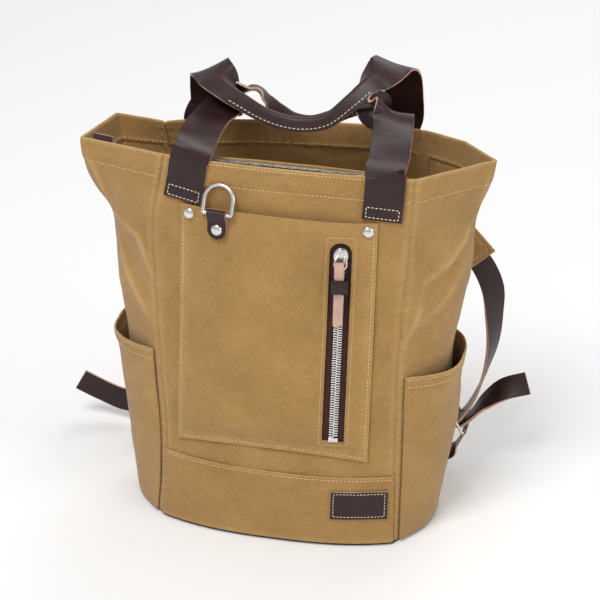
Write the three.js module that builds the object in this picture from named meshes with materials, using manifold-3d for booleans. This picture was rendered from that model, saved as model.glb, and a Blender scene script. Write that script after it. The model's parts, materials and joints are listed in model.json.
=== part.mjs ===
// Canvas backpack with leather handles, built from its sewn panels, straps and metal fittings.
// Millimetres. X runs to the wearer's left seen from the front (right in the picture), Y runs back, Z runs up.
// The origin is the middle of the underside of the base.
import * as THREE from 'three';
import { mergeVertices } from 'three/addons/utils/BufferGeometryUtils.js';
import Module from 'manifold-3d';

const wasm = await Module();
wasm.setup();

// Driving dimensions: the bag's body
const BODY_HEIGHT = 392;
const FRONT_WIDTH = 244;
const BASE_DEPTH = 150;
const GUSSET_BULGE = 90;
const FRONT_BELLY = 20;
const BACK_BELLY = 12;
const CORNER_SAG = 4;
const BACK_SAG = 6;
const CANVAS = 2;
const LEATHER = 2.4;
const THIN_LEATHER = 1.6;
const GAP = 0.3;
const FACET_CLEARANCE = 0.5;
const SEAM_INSET = 2.2;
const BASE_THICKNESS = 3;
const BASE_INSET = 1.2;

// Driving dimensions: pockets, band and patch
const BAND_HEIGHT = 78;
const FRONT_POCKET_WIDTH = 191;
const FRONT_POCKET_BOTTOM = 96;
const FRONT_POCKET_DROP = 46;
const FRONT_POCKET_SHIFT = -5;
const FRONT_POCKET_ARCH = 8;
const FRONT_POCKET_PUFF = 7.5;
const SIDE_POCKET_TOP = 184;
const SIDE_POCKET_PUFF = 9;
const SIDE_POCKET_MARGIN = 7;
const PATCH_WIDTH = 54;
const PATCH_HEIGHT = 31;
const PATCH_SIDE_INSET = 38;
const PATCH_TOP_INSET = 30;

// Driving dimensions: the zip in the front pocket
const ZIP_SIDE_INSET = 33.5;
const ZIP_BOTTOM_INSET = 23;
const ZIP_TOP_INSET = 20;
const ZIP_WINDOW = 21;
const ZIP_TAPE_WIDTH = 31;
const ZIP_TAPE = 1;
const CHAIN_WIDTH = 9.5;
const CHAIN_THICKNESS = 2.6;
const STOP_LENGTH = 5;
const SLIDER_LENGTH = 19;
const SLIDER_WIDTH = 14;
const SLIDER_THICKNESS = 4;
const BAIL_WIRE = 2.2;
const BAIL_WIDTH = 8;
const PULL_WIDTH = 9;
const PULL_LENGTH = 66;
const PULL_THICKNESS = 2.4;
const KEEPER_WIDTH = 16;
const KEEPER_HEIGHT = 14;

// Driving dimensions: the zip across the mouth and the divider behind it
const MOUTH_ZIP_SPAN = 180;
const MOUTH_CHAIN_WIDTH = 6;
const MOUTH_CHAIN_THICKNESS = 2.4;
const DIVIDER_MARGIN = 5;
const DIVIDER_SETBACK = 24;
const DIVIDER_BOTTOM = 150;
const DIVIDER_DROP = 5;

// Driving dimensions: leather handles
const HANDLE_WIDTH = 38;
const HANDLE_SPAN = 193;
const HANDLE_FOOT = 42.5;
const HANDLE_RISE = 70;
const HANDLE_REACH = 60;
const FRONT_HANDLE_SHIFT = -3;
const BACK_HANDLE_SHIFT = -6;

// Driving dimensions: D-ring, its tab and the rivets
const RING_INNER_WIDTH = 25;
const RING_WIRE = 4;
const RING_HEIGHT = 32;
const RING_ROOM = 2.5;
const RING_REST = 1;
const BAR_DROP = 2;
const TAB_WIDTH = 19;
const TAB_LENGTH = 26;
const TAB_PINCH = 0.3;
const TAB_RIVET_DOWN = 0.62;
const RIVET_DIAMETER = 11;
const RIVET_HEIGHT = 2.6;
const RIVET_SIDE_INSET = 9;
const RIVET_TOP_INSET = 8;

// Driving dimensions: shoulder straps
const PAD_WIDTH = 56;
const PAD_THICKNESS = 5;
const STRAP_WIDTH = 24;
const STRAP_THICKNESS = 3;
const STRAP_OVERHANG = 83;
const STRAP_SETBACK = 30;
const BUCKLE_WIRE = 3.2;

// Colours and finishes, by eye from the photograph
const canvas = () => new THREE.MeshStandardMaterial({ color: 0xae8a55, roughness: 0.92, metalness: 0 });
const leather = () => new THREE.MeshStandardMaterial({ color: 0x3c2325, roughness: 0.45, metalness: 0 });
const paleLeather = () => new THREE.MeshStandardMaterial({ color: 0xc8a091, roughness: 0.7, metalness: 0 });
const tape = () => new THREE.MeshStandardMaterial({ color: 0x3a2422, roughness: 0.85, metalness: 0 });
const nickel = () => new THREE.MeshStandardMaterial({ color: 0xc9cacb, roughness: 0.28, metalness: 1 });

// Places that follow from the sizes above
const FRONT_POCKET_TOP = BODY_HEIGHT - FRONT_POCKET_DROP;
const ZIP_TOP = FRONT_POCKET_TOP - ZIP_TOP_INSET;
const ZIP_BOTTOM = FRONT_POCKET_BOTTOM + ZIP_BOTTOM_INSET;
const ZIP_X = FRONT_POCKET_SHIFT + FRONT_POCKET_WIDTH / 2 - ZIP_SIDE_INSET;
const PATCH_X = FRONT_WIDTH / 2 - PATCH_SIDE_INSET;
const PATCH_Z = BAND_HEIGHT - PATCH_TOP_INSET;
const STRAP_REACH = FRONT_WIDTH / 2 + STRAP_OVERHANG;
const footEdge = FRONT_HANDLE_SHIFT - (HANDLE_SPAN - HANDLE_WIDTH) / 2;
const RING_X = footEdge + RING_ROOM + RING_INNER_WIDTH / 2 + RING_WIRE;

const bag = new THREE.Group();

function add(name, geometry, material) {
  const mesh = new THREE.Mesh(geometry, material);
  mesh.name = name;
  bag.add(mesh);
  return mesh;
}

// Sections of the body from the base to the rim, as shares of the driving dimensions.
// frontLeft to backRight: seams, of half the front width; front and back: of half the base depth.
// outLeft and outRight: how far the middle of each gusset stands out, of the gusset's bulge.
// ridgeLeft and ridgeRight: depth of that middle, of half the base depth.
// quarter: how far the gusset stands out half way to its middle, of the middle's own (0.5 is a straight fold).
// slackLeft and slackRight: how slack the far half of the gusset is, of the most.
const SECTIONS = [
  { up: 0.00, frontLeft: -0.98, frontRight: 0.98, backLeft: -0.98, backRight: 0.98, front: -1.00, backL: 1.00,
    backR: 1.00, outLeft: 0.40, outRight: 0.29, ridgeLeft: 0.00, ridgeRight: 0.05, quarter: 0.80,
    slackLeft: 0, slackRight: 0 },
  { up: 0.10, frontLeft: -0.95, frontRight: 0.97, backLeft: -0.98, backRight: 0.98, front: -0.99, backL: 0.99,
    backR: 0.99, outLeft: 0.49, outRight: 0.36, ridgeLeft: 0.00, ridgeRight: 0.05, quarter: 0.82,
    slackLeft: 0, slackRight: 0 },
  { up: 0.25, frontLeft: -0.95, frontRight: 0.96, backLeft: -0.99, backRight: 0.99, front: -0.96, backL: 0.96,
    backR: 0.96, outLeft: 0.53, outRight: 0.435, ridgeLeft: 0.00, ridgeRight: 0.05, quarter: 0.83,
    slackLeft: 0, slackRight: 0 },
  { up: 0.38, frontLeft: -0.99, frontRight: 0.95, backLeft: -1.00, backRight: 0.99, front: -0.93, backL: 0.94,
    backR: 0.94, outLeft: 0.52, outRight: 0.445, ridgeLeft: 0.00, ridgeRight: 0.05, quarter: 0.83,
    slackLeft: 0, slackRight: 0 },
  { up: 0.47, frontLeft: -1.01, frontRight: 0.945, backLeft: -1.01, backRight: 0.98, front: -0.91, backL: 0.92,
    backR: 0.92, outLeft: 0.53, outRight: 0.47, ridgeLeft: -0.02, ridgeRight: 0.06, quarter: 0.84,
    slackLeft: 0, slackRight: 0 },
  { up: 0.60, frontLeft: -1.04, frontRight: 0.955, backLeft: -1.03, backRight: 0.97, front: -0.88, backL: 0.88,
    backR: 0.90, outLeft: 0.55, outRight: 0.55, ridgeLeft: -0.08, ridgeRight: 0.07, quarter: 0.86,
    slackLeft: 0, slackRight: 0 },
  { up: 0.72, frontLeft: -1.065, frontRight: 0.975, backLeft: -1.06, backRight: 0.95, front: -0.86, backL: 0.82,
    backR: 0.88, outLeft: 0.56, outRight: 0.58, ridgeLeft: -0.14, ridgeRight: 0.08, quarter: 0.80,
    slackLeft: 0, slackRight: 0 },
  { up: 0.79, frontLeft: -1.075, frontRight: 0.985, backLeft: -1.09, backRight: 0.94, front: -0.85, backL: 0.75,
    backR: 0.87, outLeft: 0.60, outRight: 0.58, ridgeLeft: -0.20, ridgeRight: 0.08, quarter: 0.70,
    slackLeft: 0.1, slackRight: 0.05 },
  { up: 0.86, frontLeft: -1.06, frontRight: 0.995, backLeft: -1.12, backRight: 0.93, front: -0.84, backL: 0.66,
    backR: 0.86, outLeft: 0.78, outRight: 0.60, ridgeLeft: -0.30, ridgeRight: 0.07, quarter: 0.58,
    slackLeft: 0.35, slackRight: 0.15 },
  { up: 0.93, frontLeft: -1.02, frontRight: 1.005, backLeft: -1.15, backRight: 0.92, front: -0.82, backL: 0.56,
    backR: 0.85, outLeft: 0.93, outRight: 0.69, ridgeLeft: -0.37, ridgeRight: 0.07, quarter: 0.53,
    slackLeft: 0.7, slackRight: 0.3 },
  { up: 1.00, frontLeft: -0.985, frontRight: 1.01, backLeft: -1.18, backRight: 0.90, front: -0.80, backL: 0.47,
    backR: 0.84, outLeft: 1.00, outRight: 0.75, ridgeLeft: -0.40, ridgeRight: 0.07, quarter: 0.50,
    slackLeft: 1, slackRight: 0.4 },
];

const tracks = {};
for (const name of Object.keys(SECTIONS[0]).filter((key) => key !== 'up')) {
  tracks[name] = new THREE.CubicInterpolant(SECTIONS.map((row) => row.up), SECTIONS.map((row) => row[name]), 1);
}
const section = (name, up) => tracks[name].evaluate(up)[0];

const WALL_FOOT = BASE_THICKNESS + GAP;
const upOf = (z) => (z - WALL_FOOT) / (BODY_HEIGHT - WALL_FOOT);
const heightOf = (up) => THREE.MathUtils.lerp(WALL_FOOT, BODY_HEIGHT, up);
const HALF_WIDTH = FRONT_WIDTH / 2;
const HALF_DEPTH = BASE_DEPTH / 2;

// A panel bows out between its seams, flatter in the middle than near them
const BOW_POWER = 2.6;
const bow = (s) => 1 - Math.abs(2 * s - 1) ** BOW_POWER;

// The front belly fades from the base to the rim
const BELLY_AT_RIM = 0.35;
const bellyShare = (up) => THREE.MathUtils.lerp(1, BELLY_AT_RIM, THREE.MathUtils.smoothstep(up, 0.2, 0.9));
// Only the top of the left side sags, at its outer corner and at its back seam
const sagShare = (up) => THREE.MathUtils.smoothstep(up, 0.6, 1);

function seam(which, up) {
  const left = which.endsWith('Left');
  const y = which.startsWith('front') ? section('front', up) : section(left ? 'backL' : 'backR', up);
  const sag = which === 'backLeft' ? BACK_SAG * sagShare(up) : 0;
  return new THREE.Vector3(section(which, up) * HALF_WIDTH, y * HALF_DEPTH, heightOf(up) - sag);
}

function frontFace(s, up) {
  const p = seam('frontLeft', up).lerp(seam('frontRight', up), s);
  p.y -= FRONT_BELLY * bellyShare(up) * bow(s);
  return p;
}

function backFace(s, up) {
  const p = seam('backRight', up).lerp(seam('backLeft', up), s);
  p.y += BACK_BELLY * bow(s);
  return p;
}

// At the rim the far half of each gusset is slack, so it bows out behind the fold
const FAR_SLACK_OUT = 0.16;
const FAR_SLACK_BACK = 0.4;

// The gusset's plan section: five points from seam to seam over the middle ridge, joined by a smooth curve
// low down and by straight folds at the rim. Seen from outside, every face of the body runs left to right.
function gussetFace(side) {
  const out = side === 'Left' ? -1 : 1;
  return (s, up) => {
    const front = seam('front' + side, up);
    const back = seam('back' + side, up);
    const bulge = section('out' + side, up) * GUSSET_BULGE * out;
    const middle = front.clone().lerp(back, 0.5);
    middle.x = front.x + bulge;
    middle.y = section('ridge' + side, up) * HALF_DEPTH;
    if (side === 'Left') middle.z = heightOf(up) - CORNER_SAG * sagShare(up);
    const quarter = section('quarter', up);
    const near = front.clone().lerp(middle, 0.5);
    const far = back.clone().lerp(middle, 0.5);
    near.x += (quarter - 0.5) * bulge;
    far.x += (quarter - 0.5) * bulge;
    const slack = section('slack' + side, up);
    far.x += slack * FAR_SLACK_OUT * bulge;
    far.y += slack * FAR_SLACK_BACK * (back.y - middle.y);
    far.z = heightOf(up);
    const points = [front, near, middle, far, back];
    if (side === 'Left') points.reverse();
    const span = points.length - 1;
    const along = Math.min(Math.max(s, 0), 1) * span;
    const i = Math.min(Math.floor(along), span - 1);
    const folded = points[i].clone().lerp(points[i + 1], along - i);
    const smooth = new THREE.CatmullRomCurve3(points, false, 'centripetal').getPoint(along / span);
    return smooth.lerp(folded, THREE.MathUtils.smoothstep(up, 0.72, 0.9));
  };
}
const leftFace = gussetFace('Left');
const rightFace = gussetFace('Right');

// The unit normal of a face, from small steps along it, pointing away from the bag's upright axis line
const STEP = 1e-3;
function normalOf(face, s, t) {
  const a = face(Math.min(s + STEP, 1), t).sub(face(Math.max(s - STEP, 0), t));
  const b = face(s, Math.min(t + STEP, 1)).sub(face(s, Math.max(t - STEP, 0)));
  return a.cross(b).normalize();
}

const steps = (from, to, count) => Array.from({ length: count + 1 }, (_, i) => from + ((to - from) * i) / count);

// A closed slab between two offsets of a face, over a grid of s and t
function slab(face, sList, tList, low, high) {
  const value = (offset, s, t) => (typeof offset === 'function' ? offset(s, t) : offset);
  const positions = [];
  for (const offset of [low, high]) {
    for (const t of tList) {
      for (const s of sList) {
        const p = face(s, t).addScaledVector(normalOf(face, s, t), value(offset, s, t));
        positions.push(p.x, p.y, p.z);
      }
    }
  }
  const cols = sList.length;
  const rows = tList.length;
  const layer = cols * rows;
  const at = (l, r, c) => l * layer + r * cols + c;
  const index = [];
  const quad = (a, b, c, d) => index.push(a, b, c, a, c, d);
  for (let r = 0; r < rows - 1; r += 1) {
    for (let c = 0; c < cols - 1; c += 1) {
      quad(at(1, r, c), at(1, r, c + 1), at(1, r + 1, c + 1), at(1, r + 1, c));
      quad(at(0, r, c), at(0, r + 1, c), at(0, r + 1, c + 1), at(0, r, c + 1));
    }
  }
  for (let c = 0; c < cols - 1; c += 1) {
    quad(at(0, 0, c), at(0, 0, c + 1), at(1, 0, c + 1), at(1, 0, c));
    quad(at(0, rows - 1, c + 1), at(0, rows - 1, c), at(1, rows - 1, c), at(1, rows - 1, c + 1));
  }
  for (let r = 0; r < rows - 1; r += 1) {
    quad(at(0, r + 1, 0), at(0, r, 0), at(1, r, 0), at(1, r + 1, 0));
    quad(at(0, r, cols - 1), at(0, r + 1, cols - 1), at(1, r + 1, cols - 1), at(1, r, cols - 1));
  }
  return closed(positions, index);
}

// An indexed geometry whose faces point out, whichever way round the grid ran
function closed(positions, index) {
  const geometry = new THREE.BufferGeometry();
  geometry.setAttribute('position', new THREE.Float32BufferAttribute(positions, 3));
  let volume = 0;
  const corner = (i) => new THREE.Vector3(...positions.slice(3 * i, 3 * i + 3));
  for (let i = 0; i < index.length; i += 3) {
    const [a, b, c] = [corner(index[i]), corner(index[i + 1]), corner(index[i + 2])];
    volume += a.dot(b.cross(c));
  }
  if (volume < 0) {
    for (let i = 0; i < index.length; i += 3) {
      [index[i + 1], index[i + 2]] = [index[i + 2], index[i + 1]];
    }
  }
  geometry.setIndex(index);
  return geometry;
}

// A strap or band swept through stations, each with its centre, width direction, width and thickness.
// The section is a rectangle with its narrow edges a little rounded.
function sweep(stations) {
  const EDGE = 0.5;
  const FLAT = 0.94;
  const outline = [
    [-1, -EDGE], [-1, EDGE], [-FLAT, 1], [FLAT, 1], [1, EDGE], [1, -EDGE], [FLAT, -1], [-FLAT, -1],
  ];
  const positions = [];
  const count = stations.length;
  stations.forEach((station, i) => {
    const ahead = stations[Math.min(i + 1, count - 1)].centre.clone();
    const along = ahead.sub(stations[Math.max(i - 1, 0)].centre).normalize();
    const across = station.across.clone().addScaledVector(along, -station.across.dot(along)).normalize();
    const up = new THREE.Vector3().crossVectors(along, across);
    for (const [u, v] of outline) {
      const p = station.centre.clone();
      p.addScaledVector(across, (u * station.width) / 2).addScaledVector(up, (v * station.thick) / 2);
      positions.push(p.x, p.y, p.z);
    }
  });
  const n = outline.length;
  const index = [];
  for (let i = 0; i < count - 1; i += 1) {
    for (let j = 0; j < n; j += 1) {
      const [a, b] = [i * n + j, i * n + ((j + 1) % n)];
      index.push(a, b, b + n, a, b + n, a + n);
    }
  }
  for (let j = 1; j < n - 1; j += 1) {
    index.push(0, j + 1, j);
    const last = (count - 1) * n;
    index.push(last, last + j, last + j + 1);
  }
  return closed(positions, index);
}

// Stations spread evenly along a smooth curve through the given ones
function refine(rows, count) {
  const centres = new THREE.CatmullRomCurve3(rows.map((row) => row.centre), false, 'centripetal');
  const acrosses = new THREE.CatmullRomCurve3(rows.map((row) => row.across), false, 'centripetal');
  const last = rows.length - 1;
  return steps(0, 1, count).map((t) => {
    const i = Math.min(Math.floor(t * last), last - 1);
    const f = t * last - i;
    return {
      centre: centres.getPoint(t),
      across: rows[i].across.clone().lerp(rows[i + 1].across, f).lerp(acrosses.getPoint(t), 0.5),
      width: THREE.MathUtils.lerp(rows[i].width, rows[i + 1].width, f),
      thick: THREE.MathUtils.lerp(rows[i].thick, rows[i + 1].thick, f),
    };
  });
}

function solidOf(geometry) {
  const plain = geometry.clone();
  plain.deleteAttribute('normal');
  plain.deleteAttribute('uv');
  const merged = mergeVertices(plain, 1e-4);
  return new wasm.Manifold(new wasm.Mesh({
    numProp: 3,
    vertProperties: new Float32Array(merged.attributes.position.array),
    triVerts: new Uint32Array(merged.index.array),
  }));
}

function geometryOf(solid) {
  const mesh = solid.getMesh();
  const geometry = new THREE.BufferGeometry();
  geometry.setAttribute('position', new THREE.BufferAttribute(new Float32Array(mesh.vertProperties), 3));
  geometry.setIndex(new THREE.BufferAttribute(new Uint32Array(mesh.triVerts), 1));
  return geometry;
}

// Body panels. Each stops short of its seams by the seam inset, which leaves the dark seam line between panels.
const FINE_ROWS = [0.895, 0.965];
const WALL_ROWS = [...SECTIONS.map((row) => row.up), ...FINE_ROWS].sort();
const panelInset = SEAM_INSET / FRONT_WIDTH;
const panelColumns = steps(panelInset, 1 - panelInset, 10);
add('front_panel', slab(frontFace, panelColumns, WALL_ROWS, -CANVAS, 0), canvas());
add('back_panel', slab(backFace, panelColumns, WALL_ROWS, -CANVAS, 0), canvas());
const gussetColumns = steps(0, 1, 12);
add('gusset_left', slab(leftFace, gussetColumns, WALL_ROWS, -CANVAS, 0), canvas());
add('gusset_right', slab(rightFace, gussetColumns, WALL_ROWS, -CANVAS, 0), canvas());

// The base: a leather plate under the walls, a little inside their outline
function basePanel() {
  const outline = [frontFace, rightFace, backFace, leftFace].flatMap((face) => (
    steps(0, 1, 10).slice(0, -1).map((s) => {
      const p = face(s, 0);
      const reach = Math.hypot(p.x, p.y);
      return new THREE.Vector2(p.x, p.y).multiplyScalar(1 - BASE_INSET / reach);
    })
  ));
  return new THREE.ExtrudeGeometry(new THREE.Shape(outline), { depth: BASE_THICKNESS, bevelEnabled: false });
}
add('base_panel', mergeVertices(stripped(basePanel())), leather());

function stripped(geometry) {
  geometry.deleteAttribute('normal');
  geometry.deleteAttribute('uv');
  return geometry;
}

// Where a point of the front or back face lies, from its X and Z
function shareAcross(left, right, x, up) {
  const from = section(left, up) * HALF_WIDTH;
  const to = section(right, up) * HALF_WIDTH;
  return (x - from) / (to - from);
}
const onFront = (x, z) => [shareAcross('frontLeft', 'frontRight', x, upOf(z)), upOf(z)];
const onBack = (x, z) => [1 - shareAcross('backLeft', 'backRight', x, upOf(z)), upOf(z)];
function seat(face, place, lift) {
  return face(...place).addScaledVector(normalOf(face, ...place), lift);
}
const frontPoint = (x, z, lift) => seat(frontFace, onFront(x, z), lift);
const backPoint = (x, z, lift) => seat(backFace, onBack(x, z), lift);

// The canvas band across the bottom of the front, and the leather patch on it
const bandRows = steps(0, upOf(BAND_HEIGHT), 4);
add('bottom_band', slab(frontFace, panelColumns, bandRows, GAP, GAP + CANVAS), canvas());
const PATCH_LIFT = 2 * GAP + CANVAS;
const patchFace = (s, t) => frontPoint(PATCH_X + (s - 0.5) * PATCH_WIDTH, PATCH_Z + (t - 0.5) * PATCH_HEIGHT, 0);
const patchSheet = slab(patchFace, steps(0, 1, 4), steps(0, 1, 2), PATCH_LIFT, PATCH_LIFT + THIN_LEATHER);
add('leather_patch', patchSheet, leather());

// The front pocket: sewn down its sides and bottom, standing a little off the bag between them
const POCKET_SEWN = 0.1;
const pocketLeft = FRONT_POCKET_SHIFT - FRONT_POCKET_WIDTH / 2;
const pocketHeight = FRONT_POCKET_TOP - FRONT_POCKET_BOTTOM;
function pocketLift(x, z) {
  const s = (x - pocketLeft) / FRONT_POCKET_WIDTH;
  const t = (z - FRONT_POCKET_BOTTOM - FRONT_POCKET_ARCH * bow(s)) / pocketHeight;
  return GAP + FRONT_POCKET_PUFF * bow(s) * THREE.MathUtils.smoothstep(t, 0, POCKET_SEWN);
}
const onPocket = (x, z, lift) => frontPoint(x, z, pocketLift(x, z) + lift);
function pocketFace(s, t) {
  const bottom = FRONT_POCKET_BOTTOM + FRONT_POCKET_ARCH * bow(s);
  return onPocket(pocketLeft + s * FRONT_POCKET_WIDTH, THREE.MathUtils.lerp(bottom, FRONT_POCKET_TOP, t), 0);
}
const WINDOW_CUT_DEPTH = 60;
function zipWindow() {
  const r = ZIP_WINDOW / 2;
  const shape = new THREE.Shape();
  shape.moveTo(-r, ZIP_BOTTOM);
  shape.lineTo(r, ZIP_BOTTOM);
  shape.lineTo(r, ZIP_TOP - r);
  shape.absarc(0, ZIP_TOP - r, r, 0, Math.PI, false);
  shape.closePath();
  const cutter = new THREE.ExtrudeGeometry(shape, { depth: WINDOW_CUT_DEPTH, bevelEnabled: false, curveSegments: 8 });
  cutter.rotateX(Math.PI / 2);
  cutter.translate(ZIP_X, frontPoint(ZIP_X, ZIP_TOP, 0).y + WINDOW_CUT_DEPTH / 4, 0);
  return cutter;
}
const pocketRows = [0, 0.03, 0.06, 0.1, 0.25, 0.4, 0.55, 0.7, 0.85, 1];
const pocketSheet = slab(pocketFace, steps(0, 1, 12), pocketRows, 0, CANVAS);
add('front_pocket', geometryOf(solidOf(pocketSheet).subtract(solidOf(zipWindow()))), canvas());

// The zip behind the window: tape, chain, bottom stop, slider with its bail, and the leather pull in its keeper
const TAPE_END = 3;
function stripFace(x, width, bottom, top, place) {
  return (s, t) => place(x + (s - 0.5) * width, bottom + t * (top - bottom), 0);
}
const tapeFace = stripFace(ZIP_X, ZIP_TAPE_WIDTH, ZIP_BOTTOM - TAPE_END, ZIP_TOP + TAPE_END, onPocket);
const tapeTop = -2 * FACET_CLEARANCE;
add('pocket_zip_tape', slab(tapeFace, steps(0, 1, 4), steps(0, 1, 12), tapeTop - ZIP_TAPE, tapeTop), tape());
const sliderTop = ZIP_TOP - ZIP_WINDOW / 4;
const sliderBottom = sliderTop - SLIDER_LENGTH;
const stopBottom = ZIP_BOTTOM + GAP;
const chainBottom = stopBottom + STOP_LENGTH + GAP;
const chainFace = stripFace(ZIP_X, CHAIN_WIDTH, chainBottom, sliderBottom - GAP, onPocket);
add('pocket_zip_teeth', slab(chainFace, steps(0, 1, 2), steps(0, 1, 12), 0, CHAIN_THICKNESS), nickel());
const stopFace = stripFace(ZIP_X, CHAIN_WIDTH, stopBottom, stopBottom + STOP_LENGTH, onPocket);
add('pocket_zip_stop', slab(stopFace, steps(0, 1, 2), steps(0, 1, 1), 0, CHAIN_THICKNESS), nickel());

// A frame of axes standing on a face: X across, Y up the face and Z out of it
function frameAt(place, x, z, lift, reach) {
  const across = place(x + reach, z, lift).sub(place(x - reach, z, lift)).normalize();
  const rise = place(x, z + reach, lift).sub(place(x, z - reach, lift));
  const out = across.clone().cross(rise).normalize();
  const upward = new THREE.Vector3().crossVectors(out, across);
  return new THREE.Matrix4().makeBasis(across, upward, out).setPosition(place(x, z, lift));
}

function wire(points, diameter, closedPath = false) {
  const path = new THREE.CatmullRomCurve3(points, closedPath, 'centripetal');
  const round = new THREE.Shape();
  round.absarc(0, 0, diameter / 2, 0, 2 * Math.PI, false);
  return new THREE.ExtrudeGeometry(round, {
    steps: 4 * (points.length - 1), extrudePath: path, curveSegments: 4, bevelEnabled: false,
  });
}

function sliderBody() {
  const w = SLIDER_WIDTH / 2;
  const h = SLIDER_LENGTH / 2;
  const shape = new THREE.Shape();
  shape.moveTo(-0.6 * w, -h);
  shape.lineTo(0.6 * w, -h);
  shape.lineTo(w, 0.2 * h);
  shape.absarc(0, 0.2 * h, w, 0, Math.PI, false);
  shape.closePath();
  const plate = new THREE.ExtrudeGeometry(shape, { depth: SLIDER_THICKNESS, bevelEnabled: false, curveSegments: 5 });
  const foot = SLIDER_THICKNESS - BAIL_WIRE / 4;
  const rise = SLIDER_THICKNESS + 2 * BAIL_WIRE;
  const b = BAIL_WIDTH / 2;
  const bail = wire([
    new THREE.Vector3(-b, 0.5 * h, foot),
    new THREE.Vector3(-b, 0, rise),
    new THREE.Vector3(b, 0, rise),
    new THREE.Vector3(b, 0.5 * h, foot),
  ], BAIL_WIRE);
  return geometryOf(solidOf(plate).add(solidOf(bail)));
}
const slider = add('pocket_zip_slider', sliderBody(), nickel());
slider.applyMatrix4(frameAt(onPocket, ZIP_X, (sliderTop + sliderBottom) / 2, GAP, SLIDER_WIDTH / 2));

const KEEPER_ROOM = 4 * GAP;
const pullLift = CHAIN_THICKNESS + GAP + KEEPER_ROOM + THIN_LEATHER;
const pullTop = (sliderTop + sliderBottom) / 2 - BAIL_WIRE;
const pullCentre = (t) => pullLift + PULL_THICKNESS / 2 + SLIDER_THICKNESS * (1 - t) ** 3;
const pullPoint = (x, t) => onPocket(x, pullTop - t * PULL_LENGTH, pullCentre(t));
const pullStations = [0, 0.25, 0.5, 0.75, 1].map((t) => ({
  centre: pullPoint(ZIP_X, t),
  across: pullPoint(ZIP_X + PULL_WIDTH / 2, t).sub(pullPoint(ZIP_X - PULL_WIDTH / 2, t)).normalize(),
  width: PULL_WIDTH,
  thick: PULL_THICKNESS,
}));
add('pocket_zip_pull', sweep(pullStations), paleLeather());
function keeperBand() {
  const depth = PULL_THICKNESS + 2 * (KEEPER_ROOM + THIN_LEATHER);
  const outer = new THREE.BoxGeometry(KEEPER_WIDTH, KEEPER_HEIGHT, depth);
  const inner = new THREE.BoxGeometry(PULL_WIDTH + 2 * GAP, 2 * KEEPER_HEIGHT, PULL_THICKNESS + 2 * KEEPER_ROOM);
  return geometryOf(solidOf(outer).subtract(solidOf(inner)));
}
const KEEPER_DOWN = 0.38;
const keeper = add('pull_keeper', keeperBand(), leather());
const keeperZ = pullTop - KEEPER_DOWN * PULL_LENGTH;
keeper.applyMatrix4(frameAt(onPocket, ZIP_X, keeperZ, pullCentre(KEEPER_DOWN), KEEPER_HEIGHT / 2));

// Domed rivet caps
function rivet(name, x, z, lift, place) {
  const r = RIVET_DIAMETER / 2;
  const profile = [[0, 0], [r, 0], [r, 0.35], [0.85 * r, 0.7], [0.5 * r, 0.93], [0, 1]].map(
    ([radius, height]) => new THREE.Vector2(radius, height <= 0 ? 0 : height * RIVET_HEIGHT),
  );
  const cap = stripped(new THREE.LatheGeometry(profile, 14));
  cap.rotateX(Math.PI / 2);
  const mesh = add(name, geometryOf(solidOf(cap)), nickel());
  mesh.applyMatrix4(frameAt(place, x, z, lift, r));
}
const rivetZ = FRONT_POCKET_TOP - RIVET_TOP_INSET;
const rivetSeat = CANVAS + FACET_CLEARANCE;
rivet('pocket_rivet_left', pocketLeft + RIVET_SIDE_INSET, rivetZ, rivetSeat, onPocket);
rivet('pocket_rivet_right', pocketLeft + FRONT_POCKET_WIDTH - RIVET_SIDE_INSET, rivetZ, rivetSeat, onPocket);

// The D-ring: its bar lies in the fold of a leather tab whose two legs are riveted to the pocket's top edge
const tabSeat = CANVAS + FACET_CLEARANCE;
const foldRadius = RING_WIRE / 2 + GAP;
const barLift = tabSeat + THIN_LEATHER + foldRadius;
const barFrame = frameAt(onPocket, RING_X, FRONT_POCKET_TOP - BAR_DROP, 0, TAB_WIDTH / 2);

// The ring leans back until its top rests against the panel above the pocket
const ringReach = RING_HEIGHT - RING_WIRE;
const panelBehind = pocketLift(RING_X, FRONT_POCKET_TOP) + barLift - RING_WIRE / 2 - RING_REST;
const ringLean = Math.asin(panelBehind / ringReach);

function dRing() {
  const half = (RING_INNER_WIDTH + RING_WIRE) / 2;
  const straight = ringReach - half;
  const arch = steps(0, Math.PI, 10).map((a) => new THREE.Vector3(half * Math.cos(a), straight + half * Math.sin(a), 0));
  const corner = RING_WIRE / 2;
  const path = [new THREE.Vector3(half - corner, 0, 0), new THREE.Vector3(half, corner, 0), ...arch,
    new THREE.Vector3(-half, corner, 0), new THREE.Vector3(-half + corner, 0, 0)];
  const round = new THREE.Shape();
  round.absarc(0, 0, RING_WIRE / 2, 0, 2 * Math.PI, false);
  const curve = new THREE.CatmullRomCurve3(path, false, 'centripetal');
  const loop = new THREE.ExtrudeGeometry(round, { steps: 26, extrudePath: curve, curveSegments: 4, bevelEnabled: false });
  const bar = new THREE.CylinderGeometry(RING_WIRE / 2, RING_WIRE / 2, 2 * half - corner, 10);
  bar.rotateZ(Math.PI / 2);
  return geometryOf(solidOf(loop).add(solidOf(bar)));
}
const ring = add('d_ring', dRing(), nickel());
ring.applyMatrix4(barFrame.clone()
  .multiply(new THREE.Matrix4().makeTranslation(0, 0, barLift))
  .multiply(new THREE.Matrix4().makeRotationX(-ringLean)));

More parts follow.
